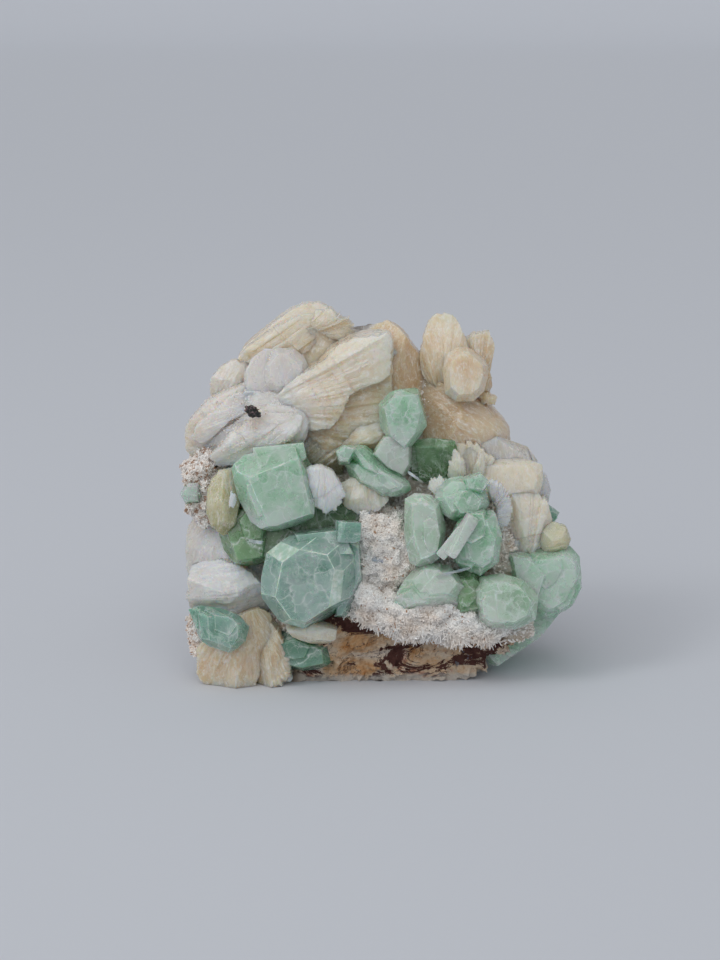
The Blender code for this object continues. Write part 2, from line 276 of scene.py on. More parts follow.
def show(name, points, faces, materials, nodes=(), marks=(), slots=None, smooth=True):
    """A finished piece, its place held in its mesh."""
    made = mesh_object(name, points, faces, dict(marks))
    mesh = made.data
    for paint in materials:
        mesh.materials.append(paint)
    if slots is not None:
        mesh.polygons.foreach_set("material_index", np.asarray(slots, np.int32))
    mesh.polygons.foreach_set("use_smooth", np.full(len(mesh.polygons), smooth))
    mesh.validate()
    mesh.update()
    if smooth:
        mesh.set_sharp_from_angle(angle=SMOOTH_BELOW)
    declare(made, nodes)
    return made


ways, rock_faces = ball(7, ROCK_SQUEEZE)
total = np.zeros(len(ways))
for normal, distance in FRACTURES:
    facing = ways @ np.array(Vector(normal).normalized())
    total += (np.clip(facing, 0, None) / distance) ** ROCK_EDGE
reach = total ** (-1.0 / ROCK_EDGE)
surface = ways * reach[:, None]
rough = np.array([noise.fractal(Vector(p) / ROCK_GRAIN, 0.8, 2.1, 3) for p in surface])
place = np.array(ROCK_MIDDLE) + ways * (reach + rough * ROCK_ROUGHNESS)[:, None]
# it sits further back behind the crystals than along the fresh break
hidden = ranged(place[:, 2] + place[:, 0] * 0.12, 17, 23) * ranged(place[:, 1], 6, -2)
place += ways * (-BEHIND_CRYSTALS * hidden)[:, None]
# and it falls away behind the blocks on the left
place[:, 1] += BEHIND_BLOCKS * ranged(place[:, 0], -19, -24) * ranged(place[:, 1], 4, -4)
# fine crumbling: shelves along the flow of the rock, pits, and grains
crumble = np.array([
    noise.ridged_multi_fractal(
        Vector((p[0] * 0.15, p[1] * 0.2, p[2] * 0.45 - p[0] * 0.04)), 0.9, 2.2, 5, 1.0, 2.0
    )
    + 0.7 * noise.turbulence(Vector(p) * 0.7, 4, False, noise_basis="VORONOI_F2F1")
    for p in place
])
broken_front = ranged(place[:, 2], 16, 12) * ranged(place[:, 1], -6, -11)
place += ways * (CRUMBLE * (1.0 + BREAK_CRUMBLE * broken_front) * (1.1 - crumble))[:, None]
place[:, 2] = np.maximum(place[:, 2], 0.0)
place += np.array(STAND) * (1, 1, 0)
x, y, z = place.T
# the fresh break is the low front, bounded above by the crust
lip = BREAK_HEIGHT - 0.10 * (x - 5.0) + 0.28 * np.maximum(5.0 - x, 0) + 1.2 * rough
fresh = ranged(lip - z, 0, 1.2) * ranged(y, -3, -8)
fresh *= ranged(x + rough, BREAK_LEFT, BREAK_LEFT + 3)
sheltered = ranged(y, 12, 6) * (1.0 - fresh) * ranged(z, 2, 5)


def rock_material():
    made, tree, shader, where = new_tree("altered_basalt")
    flow = add(
        tree, "ShaderNodeMapping", [("Vector", where)], Rotation=(0.0, 0.12, 0.0),
        Scale=(1.0, 1.0, 2.2),
    ).outputs["Vector"]
    cream, sand, ochre = linear(244, 220, 190), linear(232, 188, 140), linear(218, 150, 84)
    maroon, brown, pale = linear(84, 44, 36), linear(172, 124, 88), linear(246, 232, 218)
    ground = ramp(
        tree, patches(tree, flow, 105.0, 8.0, 0.7, 0.6),
        (0.33, ochre), (0.42, sand), (0.52, cream), (0.64, pale), (0.72, linear(240, 230, 222)),
    )
    fine = ramp(tree, patches(tree, where, 900.0, 5.0, 0.7), (0.38, brown), (0.50, (1, 1, 1, 1)))
    ground = blend(tree, 0.3, ground, fine, "MULTIPLY")
    big = ramp(tree, patches(tree, flow, 62.0, 12.0, 0.72, 1.0), (0.545, 0.0), (0.56, 1.0))
    seams = patches(tree, flow, 85.0, 9.0, 0.62, 1.2)
    thin = ramp(tree, seams, (0.466, 0.0), (0.474, 0.9), (0.480, 0.9), (0.488, 0.0))
    dark = blend(tree, 1.0, big, thin, "ADD")
    red = ramp(tree, patches(tree, where, 150.0, 5.0, 0.6), (0.62, 0.0), (0.66, 0.6))
    ground = blend(tree, red, ground, linear(184, 92, 58))
    speckled = ramp(
        tree, patches(tree, where, 700.0, 4.0, 0.6), (0.35, linear(100, 60, 50)), (0.6, maroon)
    )
    broken = blend(tree, dark, ground, speckled)
    grey = ramp(tree, patches(tree, where, 260.0, 3.0, 0.5), (0.70, 0.0), (0.72, 0.7))
    broken = blend(tree, grey, broken, linear(150, 156, 172))
    old = ramp(
        tree, patches(tree, where, 90.0, 9.0, 0.68, 0.5),
        (0.36, linear(112, 92, 76)), (0.5, linear(158, 138, 116)), (0.62, linear(196, 180, 158)),
    )
    old = blend(tree, 0.5, old, fine, "MULTIPLY")
    white = ramp(
        tree, patches(tree, where, 200.0, 6.0, 0.7),
        (0.34, linear(216, 196, 168)), (0.44, linear(238, 226, 210)), (0.58, linear(248, 243, 236)),
    )
    old = blend(tree, mark(tree, "sheltered"), old, white)
    # a pale rim runs along the bottom of the break
    height = add(tree, "ShaderNodeSeparateXYZ", [("Vector", where)]).outputs["Z"]
    rim = add(tree, "ShaderNodeMapRange", [("Value", height)], From_Min=0.0035, From_Max=0.0)
    rim = add(tree, "ShaderNodeMath", [(0, rim.outputs[0]), (1, seams)], operation="MULTIPLY")
    rim = ramp(tree, rim.outputs[0], (0.22, 0.0), (0.34, 0.8))
    broken = blend(tree, rim, broken, linear(226, 220, 210))
    tree.links.new(blend(tree, mark(tree, "fresh"), old, broken), shader.inputs["Base Color"])
    shader.inputs["Roughness"].default_value = 0.88
    grains = bump(tree, patches(tree, where, 1500.0, 4.0, 0.7), 0.0004, 0.6)
    tree.links.new(
        bump(tree, patches(tree, where, 420.0, 8.0, 0.75), 0.0016, 1.0, grains),
        shader.inputs["Normal"],
    )
    return made


show(
    "matrix_rock", place, rock_faces, [rock_material()], ["matrix"],
    {"fresh": fresh, "sheltered": sheltered}, smooth=False,
)

# ---------------------------------------------------------------------------------------------
# Druse: a crust of fine white crystals, the first thing to grow on the cavity wall. Each grain is a
# short block under a millimetre long, and a few are stained brown. Four bodies of it stand proud.
# ---------------------------------------------------------------------------------------------
ROCK_CRUST = {
    "Per square metre": 2.2e6, "Shortest": 0.0003, "Longest": 0.0007, "Thickness": 1.5,
    "Lean": 0.8, "Seed": 7,
}
THICK_CRUST = {
    "Per square metre": 13.0e6, "Shortest": 0.00022, "Longest": 0.0005, "Thickness": 1.5,
    "Lean": 0.8,
}
NEEDLES = {
    "Per square metre": 7.0e6, "Shortest": 0.0007, "Longest": 0.0017, "Lean": 0.5,
    "Thickness": 0.34, "Seed": 3,
}
DRUSE_BODIES = (
    # name, place, size and turn, in millimetres and degrees
    ("druse_centre", (1, -14, 30), (17, 13, 18), (0, 0, 0)),
    ("druse_band", (8.5, -18.5, 15.8), (41, 9, 9.5), (0, 5, 0)),
    ("druse_left", (-38.5, -7, 44.2), (11, 12, 17), (0, 0, 0)),
    ("druse_foot_left", (-38.5, -14, 11), (9, 11, 11), (0, 0, 0)),
)


def sugar_material():
    made, tree, shader, where = new_tree("white_druse")
    white = ramp(
        tree, patches(tree, where, 160.0, 4.0, 0.6),
        (0.35, linear(246, 236, 226)), (0.5, linear(252, 248, 243)), (0.66, linear(255, 255, 253)),
    )
    brown = ramp(tree, mark(tree, "stain"), (0.975, 0.0), (0.985, 1.0))
    # the crust at the left edge is speckled all over with brown
    across = add(tree, "ShaderNodeSeparateXYZ", [("Vector", where)]).outputs["X"]
    left = add(tree, "ShaderNodeMapRange", [("Value", across)], From_Min=-0.035, From_Max=-0.037)
    specks = ramp(tree, patches(tree, where, 850.0, 3.0, 0.7), (0.53, 0.0), (0.60, 0.85))
    specks = blend(tree, 1.0, specks, left.outputs["Result"], "MULTIPLY")
    brown = blend(tree, 1.0, brown, specks, "ADD")
    tree.links.new(blend(tree, brown, white, linear(176, 132, 98)), shader.inputs["Base Color"])
    shader.inputs["Roughness"].default_value = 0.35
    return made


def grain_tree(name, paint, base_paint):
    """Scatters small crystals over a surface, thickest where its attribute "crust" is high.

    With a base paint the surface itself is kept below them."""
    tree = bpy.data.node_groups.new(name, "GeometryNodeTree")
    face = tree.interface
    face.new_socket("Geometry", in_out="INPUT", socket_type="NodeSocketGeometry")
    for label in ("Per square metre", "Shortest", "Longest", "Lean", "Thickness"):
        face.new_socket(label, in_out="INPUT", socket_type="NodeSocketFloat")
    face.new_socket("Seed", in_out="INPUT", socket_type="NodeSocketInt")
    face.new_socket("Geometry", in_out="OUTPUT", socket_type="NodeSocketGeometry")
    given = tree.nodes.new("NodeGroupInput").outputs

    def node(kind, links=(), **values):
        return add(tree, kind, links, **values)

    crust = node("GeometryNodeInputNamedAttribute", data_type="FLOAT", Name="crust")
    amount = node(
        "ShaderNodeMath", [(0, crust.outputs["Attribute"]), (1, given["Per square metre"])],
        operation="MULTIPLY",
    )
    spots = node(
        "GeometryNodeDistributePointsOnFaces",
        [("Mesh", given["Geometry"]), ("Density", amount.outputs[0]), ("Seed", given["Seed"])],
    )
    grain = node("GeometryNodeMeshCone", Vertices=4, Radius_Top=0.2, Radius_Bottom=0.34, Depth=1.3)
    lean = node("FunctionNodeRandomValue", [("Seed", given["Seed"])], data_type="FLOAT_VECTOR")
    lean.inputs[0].default_value = (-1.0, -1.0, -3.0)
    lean.inputs[1].default_value = (1.0, 1.0, 3.0)
    tilt = node(
        "ShaderNodeVectorMath", [(0, lean.outputs[0]), ("Scale", given["Lean"])],
        operation="SCALE",
    )
    turned = node(
        "FunctionNodeRotateRotation", [(0, spots.outputs["Rotation"]), (1, tilt.outputs[0])],
        rotation_space="LOCAL",
    )
    length = node(
        "FunctionNodeRandomValue",
        [(2, given["Shortest"]), (3, given["Longest"]), ("Seed", given["Seed"])],
        data_type="FLOAT",
    )
    girth = node(
        "ShaderNodeMath", [(0, length.outputs[1]), (1, given["Thickness"])], operation="MULTIPLY"
    )
    shape = node(
        "ShaderNodeCombineXYZ",
        [("X", girth.outputs[0]), ("Y", girth.outputs[0]), ("Z", length.outputs[1])],
    )
    grains = node(
        "GeometryNodeInstanceOnPoints",
        [
            ("Points", spots.outputs["Points"]), ("Instance", grain.outputs["Mesh"]),
            ("Rotation", turned.outputs[0]), ("Scale", shape.outputs[0]),
        ],
    )
    stain = node("FunctionNodeRandomValue", data_type="FLOAT")
    marked = node(
        "GeometryNodeStoreNamedAttribute",
        [("Geometry", grains.outputs["Instances"]), ("Value", stain.outputs[1])],
        data_type="FLOAT", domain="INSTANCE", Name="stain",
    )
    real = node("GeometryNodeRealizeInstances", [("Geometry", marked.outputs["Geometry"])])
    painted = node(
        "GeometryNodeSetMaterial", [("Geometry", real.outputs["Geometry"])], Material=paint
    )
    if base_paint is None:
        last = painted.outputs["Geometry"]
    else:
        body = node(
            "GeometryNodeSetMaterial", [("Geometry", given["Geometry"])], Material=base_paint
        )
        both = node("GeometryNodeJoinGeometry")
        tree.links.new(body.outputs["Geometry"], both.inputs[0])
        tree.links.new(painted.outputs["Geometry"], both.inputs[0])
        last = both.outputs[0]
    end = tree.nodes.new("NodeGroupOutput")
    tree.links.new(last, end.inputs[0])
    return tree


def grown(name, points, faces, marks, tree, sizes, nodes=()):
    """Runs a scatter tree on a base mesh and keeps the result as a plain mesh."""
    made = mesh_object(name, points, faces, marks)
    scatter = made.modifiers.new("grains", "NODES")
    scatter.node_group = tree
    for item in tree.interface.items_tree:
        if item.in_out == "INPUT" and item.name in sizes:
            scatter[item.identifier] = sizes[item.name]
    bpy.context.view_layer.update()
    seen = made.evaluated_get(bpy.context.evaluated_depsgraph_get())
    result = bpy.data.meshes.new_from_object(seen)
    made.modifiers.clear()
    made.data = result
    declare(made, nodes)


sugar = sugar_material()
# on the matrix the crust covers the cavity side: the front above the fresh break, and the flanks
wear_and_edge_highlight = np.array([noise.noise(Vector(p) * 0.12) for p in place])
crust_mark = sheltered * np.maximum(ranged(z, 46, 40), 0.25)
# with loose patches of it on the back, and none right above the foot
crust_mark = np.clip(crust_mark + np.where(y > 8, wear_and_edge_highlight * 5.0 - 1.3, 0), 0, 1) * ranged(z, 1.2, 2.7)
grown(
    "druse_on_matrix", place, rock_faces, {"crust": crust_mark},
    grain_tree("druse_grains", sugar, None), ROCK_CRUST,
)


def placed(points, at, turn):
    """Points of a piece's own shape, turned and put in place on the specimen."""
    spin = np.array(Euler([radians(a) for a in turn]).to_matrix())
    return np.asarray(points) @ spin.T + np.array(at) + np.array(STAND)


lump_tree = grain_tree("druse_lump", sugar, sugar)
for name, at, size, turn in DRUSE_BODIES:
    ways, faces = ball(5)
    shaped = np.sign(ways) * np.abs(ways) ** 0.75 * np.array(size) / 2
    lumps = np.array([noise.fractal(Vector(p) * 0.34 + Vector(at), 0.5, 2.1, 5) for p in shaped])
    shaped += ways * (lumps * 2.0)[:, None]
    if name == "druse_band":
        # its left end climbs towards the mound
        shaped[:, 2] += 0.42 * np.maximum(-6.0 - shaped[:, 0], 0)
    grown(
        name, placed(shaped, at, turn), faces, {"crust": np.clip(0.4 - ways[:, 1], 0.1, 1)},
        lump_tree, {**THICK_CRUST, "Seed": len(name)}, [name],
    )
    if name == "druse_band":
        # along its lower edge the crust ends in a fringe of loose needles
        edge = np.clip(1.0 - np.abs(ways[:, 2] + 0.62) * 2.2, 0, 1) * np.clip(-ways[:, 1] * 2, 0, 1)
        grown(
            "druse_fringe", placed(shaped, at, turn), faces, {"crust": edge},
            grain_tree("druse_needles", sugar, None), NEEDLES,
        )

# ---------------------------------------------------------------------------------------------
# Stilbite: sheaves of thin blades grown side by side, fanned from a narrow root. Pearly, and
# translucent where thick, so it runs from white through cream to peach; painted shade deepens the
# colour where faces slope away to a rim, and on the backs of the blocks. The broken ends of the
# blades step up and down a little, which is what gives the faces their stripes.
# ---------------------------------------------------------------------------------------------
BEVEL = 0.12  # millimetres
BEVEL_ABOVE = radians(10)
CHIPS = 4
TERRACED_ABOVE, FROSTED_BELOW = 0.10, 0.07  # face areas over a crystal's least side squared
PRISM_TERRACES = 0.6
# Painted shade: each crystal's colour is palest at its front and deepens towards its back, by fade
FRONT_TONE = -0.36  # crystals are palest in front
FAN_STRETCH = 16.0  # millimetres across for each radian of a fan
LOWEST = 0.05  # no crystal reaches below the foot of the rock
SIDE_TAPER = 0.10  # the sides of a crystal draw in a little towards the back
POWDER_SPOT = (-0.0285, -0.0165, 0.0615)
POWDER_REACH = 0.034
POWDER = {
    "Per square metre": 1.0e7, "Shortest": 0.00012, "Longest": 0.0003, "Thickness": 1.6,
    "Lean": 1.2,
}
POWDER_SEED = 11


def ramp_wide(tree, source, light, body, deep):
    """Light, body and deep colour over the range 0.35 to 1.35 of the source."""
    span = add(tree, "ShaderNodeMapRange", [("Value", source)], From_Min=0.35, From_Max=1.35)
    return ramp(tree, span.outputs["Result"], (0.12, light), (0.5, body), (0.88, deep))


def set_inputs(shader, **values):
    """Plain values for the shader's inputs, with _ for a space."""
    for key, value in values.items():
        shader.inputs[key.replace("_", " ")].default_value = value


def stilbite_material(name, light, body, deep, chalk=0.25, clear=0.05, stripe=0.3):
    """Striped along the blades, by the sheaf's own coordinates, and deeper where "tone" is high."""
    made, tree, shader, where = new_tree(name)
    grain = mark(tree, "grain", "Vector")
    along = add(
        tree, "ShaderNodeMapping", [("Vector", grain)], Scale=(1.0, 1.0, 0.10)
    ).outputs["Vector"]
    wide = patches(tree, along, 0.5, 5.0, 0.6, 0.6)
    stripes = patches(tree, along, 2.6, 4.0, 0.7, 0.3)
    clouds = patches(tree, where, 95.0, 5.0, 0.6, 0.3)
    # tone deepens the colour, partly as painted shade on sloping faces and towards the backs of
    # crystals
    base = ramp_wide(tree, times_plus(tree, clouds, 1.3, mark(tree, "tone")), light, body, deep)
    base = blend(tree, ramp(tree, wide, (0.46, 0.0), (0.66, 0.6)), base, light)
    lines = ramp(tree, stripes, (0.32, 0.78), (0.5, 1.0))
    base = blend(tree, stripe, base, lines, "MULTIPLY")
    white = ramp(tree, patches(tree, along, 0.9, 8.0, 0.75, 0.9), (0.58, 0.0), (0.68, chalk * 2.6))
    base = blend(tree, white, base, linear(242, 238, 233))
    # a white powder lies round one spot on the upper left
    off = add(tree, "ShaderNodeVectorMath", [(0, where)], operation="DISTANCE")
    off.inputs[1].default_value = POWDER_SPOT
    uneven = patches(tree, along, 0.7, 7.0, 0.7, 0.8)
    drift = times_plus(tree, off.outputs["Value"], 1.0 / POWDER_REACH, uneven)
    powder = ramp(tree, drift, (0.62, 0.85), (0.95, 0.35), (1.15, 0.0))
    base = blend(tree, powder, base, linear(240, 233, 226))
    tree.links.new(
        ramp(tree, patches(tree, where, 320.0, 5.0, 0.65), (0.35, 0.16), (0.65, 0.5)),
        shader.inputs["Roughness"],
    )
    # short frosty scratches along the blades let no light in, so they show white
    scratched = add(
        tree, "ShaderNodeMapping", [("Vector", grain)], Scale=(1.0, 1.0, 0.28)
    ).outputs["Vector"]
    frost = ramp(tree, patches(tree, scratched, 1.5, 9.0, 0.8, 1.4), (0.50, 0.0), (0.62, 0.85))
    tree.links.new(blend(tree, frost, base, linear(250, 246, 240)), shader.inputs["Base Color"])
    tree.links.new(
        ramp(tree, frost, (0.0, 0.95), (0.7, 0.25)), shader.inputs["Subsurface Weight"]
    )
    set_inputs(
        shader, Subsurface_Radius=(1.0, 0.72, 0.46), Subsurface_Scale=0.0055,
        Transmission_Weight=clear, Coat_Weight=0.35, Coat_Roughness=0.14, IOR=1.50,
    )
    fine = bump(tree, stripes, 0.00016, 0.6)
    steps = add(tree, "ShaderNodeTexVoronoi", [("Vector", scratched)], Scale=1.3).outputs["Color"]
    glints = bump(tree, steps, 0.00022, 0.7, fine)
    soft = bump(tree, patches(tree, where, 520.0, 7.0, 0.7), 0.0003, 0.6, glints)
    tree.links.new(bump(tree, wide, 0.0005, 0.6, soft), shader.inputs["Normal"])
    return made


CREAM = stilbite_material(
    "cream_stilbite", linear(244, 236, 220), linear(234, 220, 196), linear(222, 196, 158)
)
PEACH = stilbite_material(
    "peach_stilbite", linear(230, 212, 184), linear(222, 198, 164), linear(208, 176, 136),
    0.06, 0.04, 0.15,
)
WHITE = stilbite_material(
    "white_stilbite", linear(242, 241, 239), linear(232, 227, 220), linear(218, 206, 186), 0.35
)
GREY = stilbite_material(
    "grey_stilbite", linear(236, 236, 237), linear(224, 221, 217), linear(208, 200, 184), 0.3, 0.15
)
OLIVE = stilbite_material(
    "olive_stilbite", linear(220, 217, 188), linear(204, 201, 162), linear(178, 174, 126),
    0.1, 0.12, 0.1,
)
# brown-grey: partly the crystals' own colour, partly painted shade for the hollow they sit in
BROWN_AND_SHADE = stilbite_material(
    "brown_and_shaded_stilbite", linear(214, 206, 186), linear(188, 178, 150), linear(140, 128, 94), 0.2, 0.2
)


def merged(bodies):
    """One closed skin round bodies that grow through one another: each (points, faces, slots)."""
    made = []
    for points, faces, slots in bodies:
        mesh = bpy.data.meshes.new("body")
        mesh.from_pydata(np.asarray(points).tolist(), [], faces)
        mesh.materials.append(None)
        mesh.materials.append(None)
        mesh.polygons.foreach_set("material_index", np.asarray(slots, np.int32))
        bm = bmesh.new()
        bm.from_mesh(mesh)
        if bm.calc_volume(signed=True) < 0:
            bmesh.ops.reverse_faces(bm, faces=bm.faces)
        bm.to_mesh(mesh)
        bm.free()
        made.append(bpy.data.objects.new("body", mesh))
        scene.collection.objects.link(made[-1])
    for other in made[1:]:
        union = made[0].modifiers.new("union", "BOOLEAN")
        union.operation, union.solver, union.object = "UNION", "MANIFOLD", other
    bpy.context.view_layer.update()
    seen = made[0].evaluated_get(bpy.context.evaluated_depsgraph_get())
    skin = bpy.data.meshes.new_from_object(seen)
    points = np.array([v.co[:] for v in skin.vertices])
    faces = [list(f.vertices) for f in skin.polygons]
    slots = [f.material_index for f in skin.polygons]
    for body in made:
        bpy.data.objects.remove(body)
    return points, faces, slots


def cut(bm, point, normal):
    """Cuts a closed body off flat."""
    bmesh.ops.bisect_plane(
        bm, geom=bm.verts[:] + bm.edges[:] + bm.faces[:], dist=0.001, plane_co=point,
        plane_no=normal, clear_outer=True,
    )
    bmesh.ops.holes_fill(bm, edges=[e for e in bm.edges if e.is_boundary], sides=0)


def dressed(bm, rng, terraces, least, frosted=0.0):
    """Chips off corners, growth plates on large faces and fine bevels; gives plain lists.

    The slot is 1 on the bevels, which carry a painted highlight, and on a share of the small
    faces, which are frosted."""
    bmesh.ops.recalc_face_normals(bm, faces=bm.faces)
    for _ in range(CHIPS):
        bm.verts.ensure_lookup_table()
        bm.normal_update()
        corner = bm.verts[int(rng.integers(len(bm.verts)))]
        normal = (corner.normal + Vector(rng.uniform(-0.5, 0.5, 3))).normalized()
        cut(bm, corner.co - normal * rng.uniform(0.02, 0.09) * least, normal)
    bmesh.ops.recalc_face_normals(bm, faces=bm.faces)
    for face in [f for f in bm.faces if f.calc_area() > TERRACED_ABOVE * least * least]:
        if rng.random() > terraces:
            continue
        rim = rng.uniform(0.03, 0.10) * face.calc_area() ** 0.5
        normal = face.normal.copy()
        bmesh.ops.inset_individual(
            bm, faces=[face], thickness=rim, depth=rng.choice([-1, 1]) * rng.uniform(0.03, 0.10)
        )
        slide = Vector(rng.uniform(-0.6, 0.6, 3)) * rim
        bmesh.ops.translate(bm, vec=slide - normal * slide.dot(normal), verts=face.verts)
    bmesh.ops.recalc_face_normals(bm, faces=bm.faces)
    sharp = [
        e for e in bm.edges if len(e.link_faces) == 2 and e.calc_face_angle(0) > BEVEL_ABOVE
    ]
    bevelled = bmesh.ops.bevel(
        bm, geom=sharp, offset=BEVEL, segments=2, profile=0.6, affect="EDGES", clamp_overlap=True
    )
    narrow = set(bevelled["faces"])
    bm.verts.index_update()
    points = np.array([v.co[:] for v in bm.verts])
    faces = [[v.index for v in f.verts] for f in bm.faces]
    small = FROSTED_BELOW * least * least
    # slot 1: painted highlight on the bevels, frost on a share of the small faces
    kinds = [
        1 if f in narrow or (f.calc_area() < small and rng.random() < frosted) else 0
        for f in bm.faces
    ]
    bm.free()
    return points, faces, kinds


def prism(size, corner, seed):
    """A square prism with pyramid faces at its corners."""
    rng = np.random.default_rng(seed)
    bm = bmesh.new()
    bmesh.ops.create_cube(bm, size=1.0)
    bmesh.ops.scale(bm, vec=size, verts=bm.verts)
    least = min(size)
    for sx in (-1, 1):
        for sy in (-1, 1):
            for sz in (-1, 1):
                share = corner * rng.uniform(0.55, 1.35)
                tip = Vector((sx * size[0], sy * size[1], sz * size[2])) / 2
                normal = Vector((sx, sy, sz * rng.uniform(0.7, 0.95))).normalized()
                cut(bm, tip - normal * share * least, normal)
    return dressed(bm, rng, PRISM_TERRACES, least)


def edges_of(outline):
    """The sides of an outline as (outward way, distance), without any that would cut into it."""
    corners = np.array(outline, float)
    following = np.roll(corners, -1, 0)
    turned = np.sum(corners[:, 0] * following[:, 1] - following[:, 0] * corners[:, 1])
    sides = []
    for first, second in zip(corners, following):
        run = (second - first) / max(np.hypot(*(second - first)), 1e-6) * copysign(1, turned)
        way = np.array((run[1], -run[0]))
        distance = (corners @ way).max()
        if distance < first @ way + 0.25:
            sides.append((way, distance))
    return sides


def gem(rings, seed, terraces, share, shift, frosted):
    """A crystal with flat faces: its front face, the outline where it is widest, and its back.

    rings go from front to back. Each is (y, outline seen from the front). The first has the front's
    lean too, and the one at the back needs no more of its outline than the middle. With a share
    under 1 it is a smaller neighbour grown parallel to the crystal, moved by shift."""
    rng = np.random.default_rng(seed)
    lean = rings[0][2]
    whole = np.mean([np.mean(ring[1], axis=0) for ring in rings], axis=0)
    (front_y, front), (rim_y, rim) = [
        (y + shift[1], (np.array(outline) - whole) * share + whole + np.array((shift[0], shift[2])))
        for y, outline, *_ in rings[:2]
    ]
    back_y = rings[-1][0] + shift[1]
    low, high = rim.min(0) - 1.0, rim.max(0) + 1.0
    bm = bmesh.new()
    bmesh.ops.create_cube(bm, size=1.0)
    for v in bm.verts:
        v.co = Vector((
            low[0] if v.co.x < 0 else high[0],
            front_y if v.co.y < 0 else back_y,
            low[1] if v.co.z < 0 else high[1],
        ))

    def cut_side(way, distance, y, slope):
        normal = Vector((way[0], slope, way[1])).normalized()
        cut(bm, Vector((way[0] * distance, y, way[1] * distance)), normal)

    for way, distance in edges_of(rim):
        cut_side(way, distance, rim_y, SIDE_TAPER)
    run = max(rim_y - front_y, 0.3)
    for way, distance in edges_of(front):
        spread = (rim @ way).max() - distance
        cut_side(way, distance, front_y, -max(spread, 0.05) / run)
    middle = rim.mean(0)
    for v in bm.verts:
        depth = v.co.y + (v.co.x - middle[0]) * lean[0] + (v.co.z - middle[1]) * lean[1]
        height = (v.co.z - depth * sin(CAMERA_RISE)) / cos(CAMERA_RISE)
        v.co = Vector((v.co.x, depth, max(height, LOWEST)))
    bmesh.ops.dissolve_limit(bm, angle_limit=radians(2), verts=bm.verts, edges=bm.edges)
    size = np.ptp(np.array([v.co[:] for v in bm.verts]), axis=0)
    return dressed(bm, rng, terraces, float(size.min()), frosted=frosted)


def crystal(
    name, paint, edge, slot_name, *parts, tone=0.0, fade=0.05, mates=3, terraces=0.4, frosted=0.0,
):
    """A crystal made of parts: prisms (at, size, turn, corner) or gems (a list of rings).

    The first gem also gets its mates, smaller neighbours grown parallel to it."""
    seed = sum(ord(c) * 7 for c in name) % 991
    rng = np.random.default_rng(seed)
    grown_bodies = []
    bodies = [(part, 1.0, (0.0, 0.0, 0.0)) for part in parts]
    if isinstance(parts[0], list):
        half = np.ptp(np.array(parts[0][1][1]), axis=0) / 2
        for _ in range(mates):
            share = rng.uniform(0.55, 0.85)
            slide = rng.uniform(-1, 1, 2) * half * (1.02 - share)
            bodies.append((parts[0], share, (slide[0], rng.uniform(-0.5, 0.5), slide[1])))
    for number, (part, share, shift) in enumerate(bodies):
        if isinstance(part, list):
            own, own_faces, kind = gem(part, seed + number * 17, terraces, share, shift, frosted)
        else:
            at, size, turn, corner = part
            own, own_faces, kind = prism(size, corner, seed + number * 17)
            spin = np.array(Euler([radians(a) for a in turn]).to_matrix())
            own = own @ spin.T + np.array(at)
        grown_bodies.append((own, own_faces, kind))
    points, faces, kinds = merged(grown_bodies)
    points = points + np.array(STAND)
    grain = points + (seed, 0, 0)
    # painted shade: deeper the further a point lies behind the crystal's front
    depth = points[:, 1] - points[:, 1].min()
    # the edge paint is a painted highlight on the bevels, and the frost on a share of small faces
    return show(
        name, points, faces, [paint, edge], [name],
        {"grain": grain, "tone": tone + FRONT_TONE + depth * fade}, kinds, smooth=False,
    )


def strips(across, width, rng, sharp=0.10):
    """A level for each blade across a sheaf, even along the blade and stepping to the next."""
    low, high = across.min() - 1.0, across.max() + 1.0
    knots, values, edge, level = [low], [rng.random()], low, rng.random()
    while edge < high:
        edge += width * rng.uniform(0.45, 1.6)
        fresh_level = rng.random()
        knots += [edge - width * sharp, edge]
        values += [level, fresh_level]
        level = fresh_level
    return np.interp(across, knots, values)


# Outlines are (x, height) in millimetres, as they show to a camera that looks down a little: a
# point further back stands lower than it shows. The functions below put that right.
def outline_reach(outline, count, soften):
    """How far an outline reaches from its middle at evenly spaced angles."""
    corners = np.array(outline, float)
    middle = (corners.min(0) + corners.max(0)) / 2
    walked = np.concatenate([
        a + (b - a) * np.linspace(0, 1, 16, endpoint=False)[:, None]
        for a, b in zip(corners, np.roll(corners, -1, 0))
    ]) - middle
    angle = np.arctan2(walked[:, 1], walked[:, 0])
    order = np.argsort(angle)
    turns = np.arange(count) / count * 2 * pi - pi
    reach = np.interp(turns, angle[order], np.hypot(*walked.T)[order], period=2 * pi)
    for _ in range(soften):
        reach = (np.roll(reach, 1) + reach * 2 + np.roll(reach, -1)) / 4
    return middle, turns, reach


